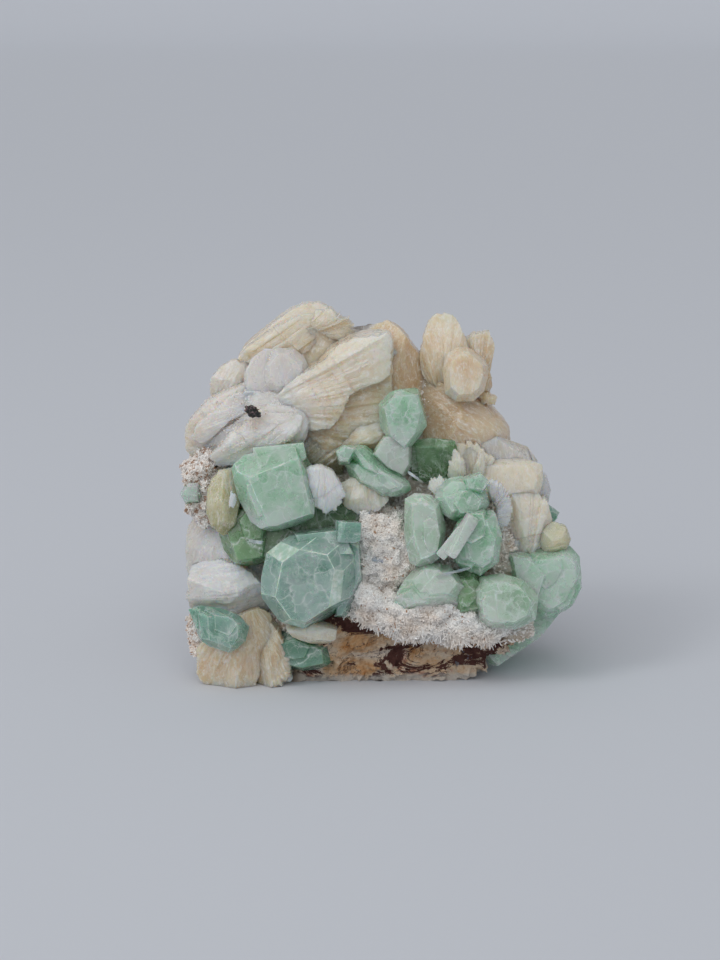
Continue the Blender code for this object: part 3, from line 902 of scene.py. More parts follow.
def slab_shape(
    y, thick, outline, flow, root, dome, width, step, ragged, lump, tone, lean, fine, facets, seed
):
    """A body with a given outline seen from the front, striped along flow or away from root.

    Gives its points, its faces, the blades' own coordinates and how deep the colour is; that
    depth includes painted shade where the faces slope away to the rim."""
    rng = np.random.default_rng(seed)
    count, soften = (132, 2) if fine else (60, 1)
    middle, turns, reach = outline_reach(outline, count, soften)
    way = np.stack([np.cos(turns), np.sin(turns)], 1)
    rim = middle + way * reach[:, None]

    def across_of(spots):
        if root is None:
            a = radians(flow)
            return spots @ np.array((-sin(a), cos(a))), spots @ np.array((cos(a), sin(a)))
        away_ = spots - np.array(root)
        start = np.arctan2(middle[1] - root[1], middle[0] - root[0])
        bearing = (np.arctan2(away_[:, 1], away_[:, 0]) - start + pi) % (2 * pi) - pi
        return bearing * FAN_STRETCH, np.hypot(*away_.T)

    across, _ = across_of(rim)
    if root is None:
        a = radians(flow)
        facing = np.abs(way @ np.array((cos(a), sin(a))))
    else:
        outward = rim - np.array(root)
        facing = np.clip((way * outward).sum(1) / np.maximum(np.hypot(*outward.T), 0.1), 0, 1)
    reach = reach + ragged * (strips(across, width * 0.6, rng) - 0.6) * facing**2
    reach = reach + ragged * 0.3 * (rng.random(count) - 0.5)
    inner, outer = (24, 9) if fine else (9, 6)
    s = np.concatenate([
        np.linspace(0.0, 0.86, inner, endpoint=False)[1:],
        1.0 - 0.14 * (1.0 - np.linspace(0, 1, outer)) ** 2.2,
    ])
    h = np.maximum(1.0 - s**dome, 0.0) ** (1.0 / dome)
    flat = np.concatenate([[middle], *(middle + way * (reach * k)[:, None] for k in s)])
    high = np.concatenate([[1.0], np.repeat(h, count)])
    rel = (flat - middle) / np.maximum(np.abs(rim - middle).max(0), 0.5)
    for _ in range(facets):
        a = rng.uniform(0, 2 * pi)
        beyond = rel @ np.array((cos(a), sin(a))) - rng.uniform(0.0, 0.55)
        high = np.minimum(high, 1.0 - np.maximum(beyond, 0.0) * rng.uniform(0.35, 1.1))
    high = np.maximum(high, 0.0)
    sides, faces, rings = [], [], len(s)
    across, along = across_of(flat)
    coarse, thin = strips(across, width, rng), strips(across, width * 0.22, rng)
    layers = strips(along + across * 0.3, width * 2.6, rng, 0.08)
    for side in (-1, 1):
        depth = y + thick / 2 + side * high * thick / 2
        steps = step * 1.4 * (coarse - 1.0) + step * 0.4 * thin + step * (layers - 1)
        depth += side * high * steps
        bumps = np.array([
            noise.fractal(Vector((p[0] * 0.16, d * 0.16, p[1] * 0.16 + seed)), 0.9, 2.0, 4)
            for p, d in zip(flat, depth)
        ])
        depth += side * high * lump * 0.5 * bumps
        depth += (flat - middle) @ np.array(lean)
        up = (flat[:, 1] - (y + thick / 2) * sin(CAMERA_RISE)) / cos(CAMERA_RISE)
        sides.append(np.stack([flat[:, 0] + bumps * lump * 0.2, depth, up], 1))
    front, back = sides
    points = np.concatenate([front, back[: 1 + count * (rings - 1)]])
    last, second = 1 + count * (rings - 1), len(front)

    def index(side, ring, k):
        k %= count
        if side == 0 or ring == rings - 1:
            return 1 + ring * count + k
        return second + 1 + ring * count + k

    for side in (0, 1):
        centre = 0 if side == 0 else second
        for k in range(count):
            fan = [centre, index(side, 0, k), index(side, 0, k + 1)]
            faces.append(fan if side == 0 else fan[::-1])
            for ring in range(rings - 1):
                quad = [
                    index(side, ring, k), index(side, ring + 1, k),
                    index(side, ring + 1, k + 1), index(side, ring, k + 1),
                ]
                faces.append(quad if side == 0 else quad[::-1])
    lines = np.stack([across, flat[:, 0] * 0, along], 1)
    lines = np.concatenate([lines, lines[:last]]) + (seed * 3.7, 0, 0)
    lines[:, 1] = points[:, 1]
    size = np.maximum(np.ptp(np.array(outline), axis=0) / 2, 1.0)
    rel = (points[:, [0, 2]] - (middle[0], points[:, 2].mean())) / size
    shade = tone[0] + rel[:, 0] * tone[1] + rel[:, 1] * tone[2]
    # painted shade: the colour deepens where the face slopes away from its flat top towards the rim
    shade += 0.25 * np.concatenate([1 - high, 1 - high[:last]])
    points[:, 2] = np.maximum(points[:, 2], LOWEST)
    return points, faces, lines, shade


def stilbite(name, paint, slot_name, *sheets, nodes=None):
    """One stilbite body made of sheets; each is (y of its front, thickness, outline, settings)."""
    usual = dict(
        flow=90.0, root=None, dome=5.5, width=2.2, step=0.5, ragged=0.9, lump=1.2,
        tone=(0.0, 0.0, 0.0), lean=(0.0, 0.0), fine=True, facets=8,
    )
    bodies, grain, tone = [], [], []
    for number, (y, thick, outline, settings) in enumerate(sheets):
        seed = sum(ord(c) for c in name) % 97 + number * 13
        made = slab_shape(y=y, thick=thick, outline=outline, seed=seed, **{**usual, **settings})
        bodies.append((made[0], made[1], [0] * len(made[1])))
        grain.append(made[2])
        tone.append(made[3])
    known = np.concatenate([points for points, _, _ in bodies])
    tree = KDTree(len(known))
    for number, point in enumerate(known):
        tree.insert(point, number)
    tree.balance()
    points, faces, _ = merged(bodies)
    nearest = [tree.find(point)[1] for point in points]
    return show(
        name, points + np.array(STAND), faces, [paint],
        [name] if nodes is None else nodes,
        {"grain": np.concatenate(grain)[nearest], "tone": np.concatenate(tone)[nearest]},
    )


# The crest and the big fan below it. The fan's blades spread from its left end and are broken off
# straight at the right; two sheets lie one over the other.
stilbite(
    "stilbite_crest", CREAM, "cream_stilbite",
    (-1.5, 15, [(-33.5, 71), (-30, 74.5), (-26, 77.5), (-21, 81), (-17.5, 82.5), (-13, 82.5),
        (-10, 80.5), (-7, 78), (-5.5, 75), (-8, 69), (-12, 64), (-20, 63), (-29, 65), (-33, 68)],
     dict(flow=28, dome=12.0, width=2.2, step=0.5, ragged=0.9, lump=0.6, tone=(0.5, 0.15, -0.5),
          lean=(0.05, 0.34), facets=18)),
    (-4.5, 8, [(-32.5, 70.5), (-29, 74), (-24, 77), (-18, 79.5), (-13, 80), (-11, 77.5), (-15, 73),
        (-20, 69), (-28, 68)],
     dict(flow=32, dome=9.0, width=1.4, step=0.7, ragged=1.4, lump=0.7, tone=(0.2, 0.1, -0.3),
          lean=(0.1, 0.3), facets=12)),
    (-3.5, 7, [(-15, 80.5), (-11.5, 81), (-8, 79), (-5.8, 76), (-7, 73.5), (-12, 75), (-16, 77.5)],
     dict(root=(-20, 74), dome=8.0, width=1.0, step=0.7, ragged=1.6, lump=0.5,
          tone=(0.1, 0.0, -0.2), lean=(0.05, 0.25), facets=8)),
)
stilbite(
    "stilbite_crest_left", WHITE, "cream_stilbite",
    (-5.5, 9, [(-39, 61), (-38.8, 65.5), (-36.5, 68), (-33.5, 70), (-30, 69), (-30.5, 63.5),
        (-33, 60), (-36.5, 59.5)],
     dict(flow=60, width=2.0, tone=(0.3, 0, 0))),
)
stilbite(
    "stilbite_fan", CREAM, "cream_stilbite",
    (-12.5, 15, [(-25.5, 61), (-22.5, 65), (-19, 67), (-14, 69), (-11.5, 72), (-8.5, 74), (-5, 75),
        (-0.5, 75.5), (2.5, 75.2), (3, 72.5), (2.7, 64.5), (2.6, 59), (0.5, 54.5), (-2.5, 52.5),
        (-7.5, 50.5), (-11, 49), (-15, 47.8), (-19, 47.8), (-22, 51), (-25, 55)],
     dict(root=(-31, 57), dome=9.5, width=1.6, step=0.7, ragged=0.8, lump=0.9,
          tone=(0.55, -0.1, -0.4), lean=(-0.03, 0.1))),
    (-15.2, 9, [(-23, 62), (-19, 65.3), (-14, 68), (-9, 73), (-4, 74.5), (2, 74.8), (2.6, 70),
        (2.4, 66), (-2, 63.5), (-7, 61.5), (-8.5, 58), (-11, 54.5), (-15.5, 53.5), (-19, 54.5),
        (-22.5, 57.5)],
     dict(root=(-31, 57), dome=6.8, width=1.2, step=0.9, ragged=1.6, lump=0.8,
          tone=(0.1, -0.1, -0.3), lean=(-0.02, 0.14))),
    (-13.5, 6, [(-17, 58), (-12, 60.5), (-7, 62.5), (-7, 61), (-11, 57), (-16, 54), (-19, 55)],
     dict(root=(-31, 57), width=0.9, step=0.5, tone=(0.0, 0, 0))),
)
stilbite(
    "stilbite_back_slab", PEACH, "peach_stilbite",
    (-5.5, 17, [(-7.5, 77), (-3.5, 77.4), (1.5, 78.4), (4.4, 76.8), (7.2, 73.3), (10, 69.5),
        (13, 65), (14, 59), (8, 55), (0, 56), (-6, 63), (-9, 70)],
     dict(flow=80, dome=6.8, width=2.6, step=0.25, ragged=0.5, lump=0.9, tone=(0.4, 0.2, -0.3),
          lean=(0.1, 0.16))),
)
grey_block = crystal(
    "stilbite_grey_block", GREY, WHITE, "white_stilbite",
    [(-10.5, [(-28.5, 61), (-28.5, 66), (-26, 69.5), (-21.5, 69.3), (-18.5, 66.5), (-17.5, 62),
          (-21, 59), (-26, 59)], (0.1, 0.25)),
     (-8, [(-30.3, 58), (-30.8, 65.5), (-29, 69.7), (-26, 71.8), (-21, 71.3), (-17.6, 69),
          (-15.6, 65), (-15, 60), (-19, 56), (-26, 55)]),
     (2, [(-23, 64.5)])],
    tone=0.3, mates=1, fade=0.04,
)

# Broken blades fill the gaps between and behind the larger pieces
stilbite(
    "stilbite_infill", CREAM, "cream_stilbite",
    (-5, 10, [(-41, 50), (-40, 58), (-33, 66), (-20, 76), (-13, 78), (-7, 76), (2, 73), (7, 68),
        (4, 54), (-2, 44), (-16, 42), (-32, 43)],
     dict(root=(-12, 30), dome=9.0, width=1.4, step=0.9, ragged=1.2, lump=2.2, tone=(0.4, 0, -0.2),
          facets=16)),
    (-10, 9, [(-30, 62), (-24, 66), (-16, 64), (-14, 56), (-12, 48), (-20, 44), (-33, 45),
        (-36, 54)],
     dict(root=(-30, 74), dome=9.0, width=1.1, step=0.9, ragged=1.4, lump=2.0, tone=(0.2, 0, -0.1),
          facets=14)),
    (-4, 10, [(6, 60), (12, 63), (20, 60), (27, 52), (33, 45), (34, 38), (30, 32), (18, 36),
        (8, 44), (4, 52)],
     dict(root=(0, 36), dome=9.0, width=1.3, step=0.9, ragged=1.4, lump=2.0, tone=(0.5, -0.2, 0),
          facets=14)),
    (-13, 9, [(14, 50), (21, 51), (27, 45), (30, 38), (26, 34), (18, 40), (13, 44)],
     dict(root=(12, 30), dome=9.0, width=0.9, step=0.8, ragged=1.6, lump=1.2, tone=(0.1, 0, 0),
          facets=12)),
    (-14.5, 10, [(21, 35), (29, 36), (34, 31), (33.5, 22), (27, 18), (21, 25)],
     dict(root=(30, 46), dome=8.0, width=0.9, step=0.7, ragged=1.6, lump=1.4, tone=(0.1, 0, 0),
          facets=12)),
    nodes=(),
)

# The left: two fibrous lobes that spread down and to the left from a patch of white powder.
upper_lobe = stilbite(
    "stilbite_lobe_upper", WHITE, "white_stilbite",
    (-12.5, 11, [(-26, 62), (-26.5, 58.5), (-31, 56), (-34.5, 53.5), (-36.5, 50.5), (-39.5, 47.6),
        (-43, 47.8), (-44.6, 51), (-44.2, 55), (-41.8, 58), (-39.5, 60.2), (-36, 62), (-31, 64)],
     dict(root=(-22, 62), dome=5.3, width=1.8, step=0.5, ragged=0.9, lump=0.9,
          tone=(0.15, -0.45, 0.1))),
    (-14.0, 6, [(-25, 62), (-29, 58.5), (-34, 55.5), (-39.5, 50.5), (-42.5, 51), (-42.5, 54),
        (-38, 58), (-33, 61.5)],
     dict(root=(-22, 62), dome=3.0, width=0.9, step=0.4, ragged=1.0, tone=(0.0, -0.3, 0))),
)
lower_lobe = stilbite(
    "stilbite_lobe_lower", WHITE, "white_stilbite",
    (-15.5, 11, [(-17, 58.5), (-15.5, 55.5), (-17.5, 50.5), (-21, 47.3), (-26, 45.5), (-30.5, 44),
        (-34.5, 43.3), (-38.7, 44.3), (-40.2, 47.5), (-38.8, 51), (-35, 54.3), (-30.5, 57.5),
        (-24, 60)],
     dict(root=(-13, 61), dome=5.3, width=1.8, step=0.5, ragged=0.9, lump=0.9,
          tone=(0.25, -0.3, -0.1))),
    (-17.0, 6, [(-17.5, 57), (-18, 53), (-24, 48.5), (-31, 45.6), (-37, 45), (-38.5, 48),
        (-34, 52.5), (-27, 57.5)],
     dict(root=(-13, 61), dome=3.0, width=0.9, step=0.4, ragged=1.0, tone=(0.0, -0.2, 0))),
    (-13.5, 8, [(-34, 60), (-30, 62.5), (-24, 62), (-19, 60), (-17, 57.5), (-19, 54), (-25, 54),
        (-31, 56)],
     dict(root=(-13, 64), width=1.0, step=0.3, ragged=0.5, lump=1.4, tone=(-0.35, 0, 0))),
)
# The powder: grains a few tenths of a millimetre long that have stuck to the lobes and the block
for number, lobe in enumerate((upper_lobe, lower_lobe, grey_block)):
    spots = np.array([v.co[:] for v in lobe.data.vertices]) / MM
    apart = np.hypot(*(spots - np.array(POWDER_SPOT) / MM)[:, [0, 2]].T)
    drifts = np.array([noise.fractal(Vector(p) * 0.35, 0.7, 2.0, 4) for p in spots])
    thick = np.clip(0.45 - apart / 14.0 + 1.3 * drifts, 0, 0.7) * (spots[:, 1] < -6)
    grown(
        f"white_powder_{number + 1}", spots, [list(f.vertices) for f in lobe.data.polygons],
        {"crust": thick}, grain_tree("powder_grains", sugar, None),
        {**POWDER, "Seed": POWDER_SEED + number},
    )
stilbite(
    "stilbite_olive_lobe", OLIVE, "cream_stilbite",
    (-22, 9, [(-36.7, 44), (-33.5, 44.8), (-31.9, 41.5), (-31.5, 37), (-32.5, 32.3), (-35, 30),
        (-37.7, 31.5), (-39.2, 35), (-38.8, 40.5)],
     dict(flow=88, dome=2.9, width=1.8, step=0.15, ragged=0.4, lump=0.4, tone=(0.3, 0.1, -0.2))),
)
# At the far left, under the olive lobe, two shiny grey-white bodies and the cream ones below them
stilbite(
    "stilbite_left_block", GREY, "white_stilbite",
    (-14, 13, [(-44.4, 22), (-44.4, 31), (-42, 35), (-37, 35.4), (-32, 32), (-28, 27.5), (-25, 22),
        (-27, 17), (-34, 16), (-43, 17)],
     dict(flow=70, dome=6.5, width=2.2, step=0.5, lump=1.6, tone=(0.0, 0, 0), lean=(0, 0.25),
          facets=12)),
    (-20.5, 13, [(-43.6, 13.5), (-44, 20), (-42.5, 23.6), (-36, 24.4), (-30, 23), (-26.5, 20),
        (-24.6, 15), (-26, 11.4), (-34, 11), (-41, 12.4)],
     dict(flow=8, dome=9, width=1.8, step=0.4, lump=1.4, tone=(0.0, 0, -0.4), facets=12)),
)
stilbite(
    "stilbite_foot_left", CREAM, "cream_stilbite",
    (-24.5, 15, [(-41.5, 5), (-38, 9), (-33, 12), (-28, 13.5), (-24.5, 12), (-25, 4), (-27.5, -1),
        (-29, -4.8), (-34, -4.8), (-40, -4.2), (-41.9, 0)],
     dict(root=(-30, 16), dome=6.8, width=2.0, step=0.4, ragged=1.2, lump=1.8,
          tone=(0.6, 0.2, 0.2))),
)
stilbite(
    "stilbite_foot_right", CREAM, "cream_stilbite",
    (-22.5, 14, [(-31, 8), (-27, 12), (-23, 9), (-20.3, 4), (-20.2, -0.5), (-22, -4), (-26, -4.9),
        (-30, -5), (-31.5, 1)],
     dict(root=(-27, 14), dome=6.5, width=1.6, step=0.5, ragged=1.4, lump=1.4,
          tone=(0.5, 0.0, 0.3))),
)
stilbite(
    "stilbite_under_slab", CREAM, "cream_stilbite",
    (-24, 9, [(-21.5, 9.5), (-15, 10.8), (-10, 9), (-10.2, 6.8), (-13, 5.6), (-16, 6), (-20, 7.6)],
     dict(flow=0, dome=4.9, width=1.2, step=0.2, ragged=0.4, lump=0.4, tone=(0.0, 0, -0.4))),
    (-21.5, 6, [(-24.5, 1), (-20.5, 0.4), (-19.8, -3), (-23, -3.6), (-25, -2)],
     dict(flow=80, width=1.0, step=0.3, tone=(-0.2, 0, 0), fine=False)),
)

# The hollow in the middle: thin scalloped discs and brown-grey crystals, partly painted shade
stilbite(
    "stilbite_white_disc", WHITE, "white_stilbite",
    (-22.5, 5.5, [(-16.7, 45), (-14, 45.8), (-11, 44.6), (-9, 41.7), (-7.8, 39), (-9.5, 36),
        (-12, 34.7), (-15, 36.3), (-16.2, 40)],
     dict(root=(-13, 50), dome=3.0, width=1.1, step=0.3, ragged=0.9, lump=0.4,
          tone=(-0.3, 0, 0.2))),
)
stilbite(
    "white_chips", WHITE, "white_stilbite",
    (-23.2, 1.6, [(-33.3, 39.8), (-31.9, 38.9), (-32.2, 36), (-33.8, 36.2)],
     dict(flow=80, width=0.6, step=0.2, tone=(-0.4, 0, 0), fine=False, lump=0.2)),
    (-25.2, 0.5, [(9.6, 19.9), (13, 21.3), (18, 22.7), (22.4, 23.4), (22.2, 23.0), (17, 21.8),
        (12, 20.2)],
     dict(flow=14, width=0.5, step=0.2, tone=(-0.4, 0, 0), fine=False, lump=0.3, lean=(0.05, 0.0))),
    (-23.6, 0.9, [(-29.9, 29.4), (-26.2, 28.6), (-26.4, 27.7), (-29.4, 28.3)],
     dict(flow=-12, width=0.4, step=0.2, tone=(-0.4, 0, 0), fine=False)),
    (-18.2, 0.6, [(5.4, 44.5), (9.8, 41.4), (9.6, 41.0), (5.2, 44.0)],
     dict(flow=-36, width=0.4, step=0.2, tone=(-0.4, 0, 0), fine=False)),
    nodes=(),
)
stilbite(
    "stilbite_cream_disc", CREAM, "cream_stilbite",
    (-19.5, 6, [(-9.3, 41.5), (-6.5, 42.8), (-2.5, 42.3), (0.8, 40.5), (1.7, 38), (-0.3, 35.4),
        (-5, 34.7), (-8.5, 36.5)],
     dict(root=(-4, 50), dome=3.0, width=1.1, step=0.4, ragged=0.9, lump=0.4, tone=(-0.1, 0, 0.2))),
)
# brown-grey crystals in the hollow; their darkness is partly painted shade
stilbite(
    "stilbite_brown", BROWN_AND_SHADE, "cream_stilbite",
    (-13.5, 11, [(-18, 50.5), (-15, 53), (-10, 52), (-7.5, 48), (-9, 43.5), (-14, 42.5),
        (-17.5, 45.5)],
     dict(flow=40, dome=11.4, width=2.6, step=1.4, ragged=1.2, lump=1.2, tone=(0.2, 0, -0.3))),
)
stilbite(
    "stilbite_beige_lobe", CREAM, "cream_stilbite",
    (-13, 11, [(-10.5, 53), (-7.5, 57), (-3, 57.8), (0.5, 56), (1.5, 52), (-1.5, 48.5),
        (-6.5, 47.8), (-10, 50)],
     dict(flow=25, dome=4.9, width=2.2, step=0.4, ragged=0.6, lump=1.0, tone=(0.3, 0, -0.3))),
)

# The flower of blunt blades at the top right, and the smooth peach body it stands on
stilbite(
    "stilbite_flower_left", CREAM, "cream_stilbite",
    (-2.5, 8, [(14.6, 80.2), (16.8, 79.4), (18.6, 76.6), (20, 72.5), (18.6, 67), (15.5, 62.5),
        (12.5, 62.5), (9.5, 66.5), (8.8, 70), (9.6, 74.5), (10.8, 78), (12.2, 80.0)],
     dict(root=(14, 60), dome=7.6, width=1.8, step=0.5, ragged=0.6, lump=0.6,
          tone=(0.45, 0.0, -0.3), lean=(-0.1, 0.1))),
    (-0.5, 9, [(9.5, 70), (13, 73.5), (18.5, 74), (22, 70), (22, 63), (17, 60), (11.5, 60),
        (9, 64.5)],
     dict(flow=70, dome=6.8, width=2.6, step=0.5, ragged=0.4, lump=0.9, tone=(0.6, -0.1, 0.2))),
)
stilbite(
    "stilbite_flower_right", CREAM, "cream_stilbite",
    (0.5, 8, [(19.5, 75), (22, 76.2), (25, 76.3), (26.2, 73.5), (25.6, 70), (24.8, 65.5),
        (21, 63.5), (17, 66), (17.5, 72)],
     dict(root=(21, 60), dome=7.6, width=1.8, step=0.5, ragged=0.5, lump=0.6,
          tone=(0.55, 0.0, -0.3), lean=(0.1, 0.1))),
)
crystal(
    "stilbite_flower_front", CREAM, WHITE, "cream_stilbite",
    [(-9.8, [(16, 69), (18, 70.4), (21, 70.2), (22.7, 68), (22.8, 65.5), (21.8, 62.8), (20, 61.5),
          (17.3, 61.3), (15.6, 63), (15.3, 66.5)], (0.12, 0.25)),
     (-7, [(14.5, 70.3), (16.8, 72), (21, 72), (23.6, 69.8), (24.2, 66.5), (23.2, 62.3),
          (20.8, 59.9), (17, 59.8), (14.3, 61.6), (13.8, 66.5)]),
     (3, [(19, 66)])],
    tone=0.6, mates=0, fade=0.04, frosted=0.5,
)
stilbite(
    "stilbite_flower_bud", PEACH, "cream_stilbite",
    (-3.5, 6, [(22.5, 67.5), (24.9, 66.8), (25.4, 64), (24, 61.8), (22, 62)],
     dict(width=1.2, step=0.2, tone=(0.3, 0, 0), fine=False)),
    (-4.5, 4, [(22, 62.6), (24, 62.4), (26.3, 61.2), (25.7, 59.3), (23, 59.6)],
     dict(width=1.2, step=0.2, tone=(0.1, 0, 0), fine=False)),
)
stilbite(
    "stilbite_shoulder", PEACH, "peach_stilbite",
    (-8.5, 17, [(6, 64.5), (11, 66), (17.5, 63.5), (21.5, 61.8), (24.5, 60), (27, 57.4), (29.7, 54),
        (30, 50.5), (28, 47), (24.5, 45), (20, 44.5), (15, 45.5), (10, 48), (6.5, 53), (5, 60)],
     dict(root=(4, 66), dome=3.0, width=3.2, step=0.25, ragged=0.4, lump=1.0,
          tone=(0.35, -0.35, 0.0), lean=(0.15, 0.12))),
)

# The right side: stacked slabs, a sheaf, a ball, a bright crescent and small plates
crystal(
    "stilbite_slab_upper", GREY, WHITE, "cream_stilbite",
    [(-8, [(23.5, 50.5), (26, 51.6), (29.5, 51.3), (32.6, 49), (34.2, 46.6), (33, 44.3),
          (25, 44.3)], (0.1, 0.3)),
     (-6, [(21, 50), (25.5, 52.9), (29.6, 52.6), (33.5, 49.9), (35.6, 46.6), (34.2, 42.5), (28, 42),
          (21, 44)]),
     (6, [(28.25, 46.75)])],
    tone=0.75, mates=1, fade=0.03, frosted=0.4,
)
crystal(
    "stilbite_slab_lower", CREAM, WHITE, "cream_stilbite",
    [(-12.5, [(21.5, 45.2), (27, 46.6), (31, 46.2), (35, 44.6), (35, 42), (33.8, 39), (29, 38.6),
          (24, 39.5), (21.5, 41.8)], (0.06, 0.25)),
     (-11, [(20, 46), (26.5, 48), (31, 47.6), (36.4, 45.7), (36.6, 42), (35, 37.4), (29, 36.8),
          (23, 37.8), (19.8, 41)]),
     (2, [(28.75, 41.75)])],
    [(-11, [(14.5, 47), (20, 49.5), (24, 46.5), (23, 42), (17, 41.5)], (0.0, 0.2)),
     (-8, [(13, 48), (20, 51), (26, 47), (24, 40), (15, 40)]),
     (2, [(19.5, 44.5)])],
    tone=0.4, mates=1, fade=0.03, frosted=0.4,
)
stilbite(
    "stilbite_right_sheaf", CREAM, "cream_stilbite",
    (-15.5, 13, [(25.8, 40.5), (30, 42.5), (34.8, 41), (38.2, 37), (38.8, 32.5), (37.5, 27.5),
        (34.8, 23.5), (31, 24), (27.8, 27), (25.5, 32), (25.3, 36.5)],
     dict(root=(32, 18), dome=5.7, width=1.2, step=0.7, ragged=1.4, lump=0.6,
          tone=(-0.25, 0, 0.1))),
)
stilbite(
    "stilbite_ball", OLIVE, "cream_stilbite",
    (-16.5, 8, [(35.4, 29), (36.3, 31.7), (39, 32.8), (41.7, 31.8), (42.9, 29), (41.8, 26.2),
        (39, 25.2), (36.3, 26.2)],
     dict(root=(36, 27), dome=2.5, width=1.4, step=0.12, ragged=0.2, lump=0.25,
          tone=(-0.1, 0.3, -0.2))),
)
stilbite(
    "stilbite_crescent", WHITE, "white_stilbite",
    (-19.5, 4.5, [(22.8, 42.3), (25.5, 42.3), (28.2, 39.6), (29.3, 36), (28.3, 31.8), (25.4, 31.6),
        (25.6, 36), (24, 39)],
     dict(root=(23, 34), dome=3.0, width=1.0, step=0.4, ragged=0.8, lump=0.5, tone=(-0.3, 0, 0))),
)
stilbite(
    "stilbite_clear_block", GREY, "white_stilbite",
    (-9, 6, [(34.6, 44.2), (37.5, 43.3), (38.7, 40), (37.6, 36), (35, 37), (34, 41)],
     dict(dome=9.5, width=1.2, step=0.3, tone=(-0.2, 0, 0), fine=False)),
)
stilbite(
    "stilbite_leaf", CREAM, "cream_stilbite",
    (-15, 3, [(14.8, 43), (14.9, 46.3), (16.6, 49), (18.6, 46), (19.1, 43.5), (17, 41)],
     dict(root=(17, 36), dome=2.8, width=0.8, step=0.3, ragged=1.2, tone=(-0.1, 0, 0), fine=False)),
    (-14, 3, [(20.3, 43), (21, 46), (22.6, 49), (23.4, 48), (23.2, 44), (21.5, 41)],
     dict(root=(20, 36), dome=2.8, width=0.8, step=0.3, ragged=1.2, tone=(-0.1, 0, 0), fine=False)),
    (-19, 4, [(10.6, 42.3), (13, 43.4), (14.8, 42.2), (14.9, 39.5), (12, 38.6), (10.3, 40.4)],
     dict(root=(13, 36), dome=2.8, width=1.0, step=0.2, ragged=0.9, tone=(-0.3, 0, 0), fine=False)),
)
stilbite(
    "zeolite_lump", WHITE, "white_zeolite",
    (-20.5, 4.5, [(-4.3, 25), (-1, 26.3), (3, 25.8), (4.8, 24.2), (2, 22.8), (-3, 23)],
     dict(flow=5, dome=2.8, width=2.0, step=0.1, ragged=0.2, lump=0.3, tone=(-0.1, 0, 0),
          fine=False)),
)

# The back, out of sight from the front
stilbite(
    "stilbite_back_fan", CREAM, "cream_stilbite",
    (18.5, 13, [(-22, 62), (-14, 67), (-6, 64), (-4, 54), (-8, 44), (-14, 38), (-19, 44),
        (-23, 54)],
     dict(root=(-14, 36), dome=5.7, width=1.8, step=1.0, ragged=1.8, tone=(0.2, 0, -0.2),
          lean=(0, -0.25))),
    (23, 9, [(-20, 58), (-15, 62), (-8, 60), (-7, 52), (-12, 44), (-17, 45)],
     dict(root=(-14, 36), dome=5.7, width=1.3, step=0.8, ragged=1.6, tone=(0.0, 0, -0.2),
          lean=(0, -0.25))),
)
stilbite(
    "stilbite_back_tuft", WHITE, "cream_stilbite",
    (18.5, 12, [(8, 58), (14, 62), (21, 60), (24, 53), (20, 45), (15, 42), (10, 46)],
     dict(root=(16, 40), dome=5.3, width=1.6, step=0.9, ragged=1.6, tone=(0.1, 0, -0.2),
          lean=(0, -0.2))),
)

# ---------------------------------------------------------------------------------------------
# A dark speck in the white powder on the upper left, a millimetre or two across.
# ---------------------------------------------------------------------------------------------
SPECK_SIZE = (1.5, 0.8, 1.1)
SPECK_PLACE = (-28.5, -17.4, 62.2)
speck_paint, speck_tree, speck_shader, speck_where = new_tree("dark_speck")
speck_tree.links.new(
    ramp(
        speck_tree, patches(speck_tree, speck_where, 1600.0, 3.0, 0.6),
        (0.42, linear(16, 18, 18)), (0.52, linear(38, 46, 42)), (0.64, linear(120, 96, 98)),
    ),
    speck_shader.inputs["Base Color"],
)
speck_shader.inputs["Roughness"].default_value = 0.5
speck_ways, speck_faces = ball(3)
speck_points = speck_ways * SPECK_SIZE
speck_points *= np.array([1.0 + 0.9 * noise.noise(Vector(w) * 2.6) for w in speck_ways])[:, None]
show(
    "dark_speck", placed(speck_points, SPECK_PLACE, (0, 20, 0)), speck_faces, [speck_paint],
    smooth=False,
)

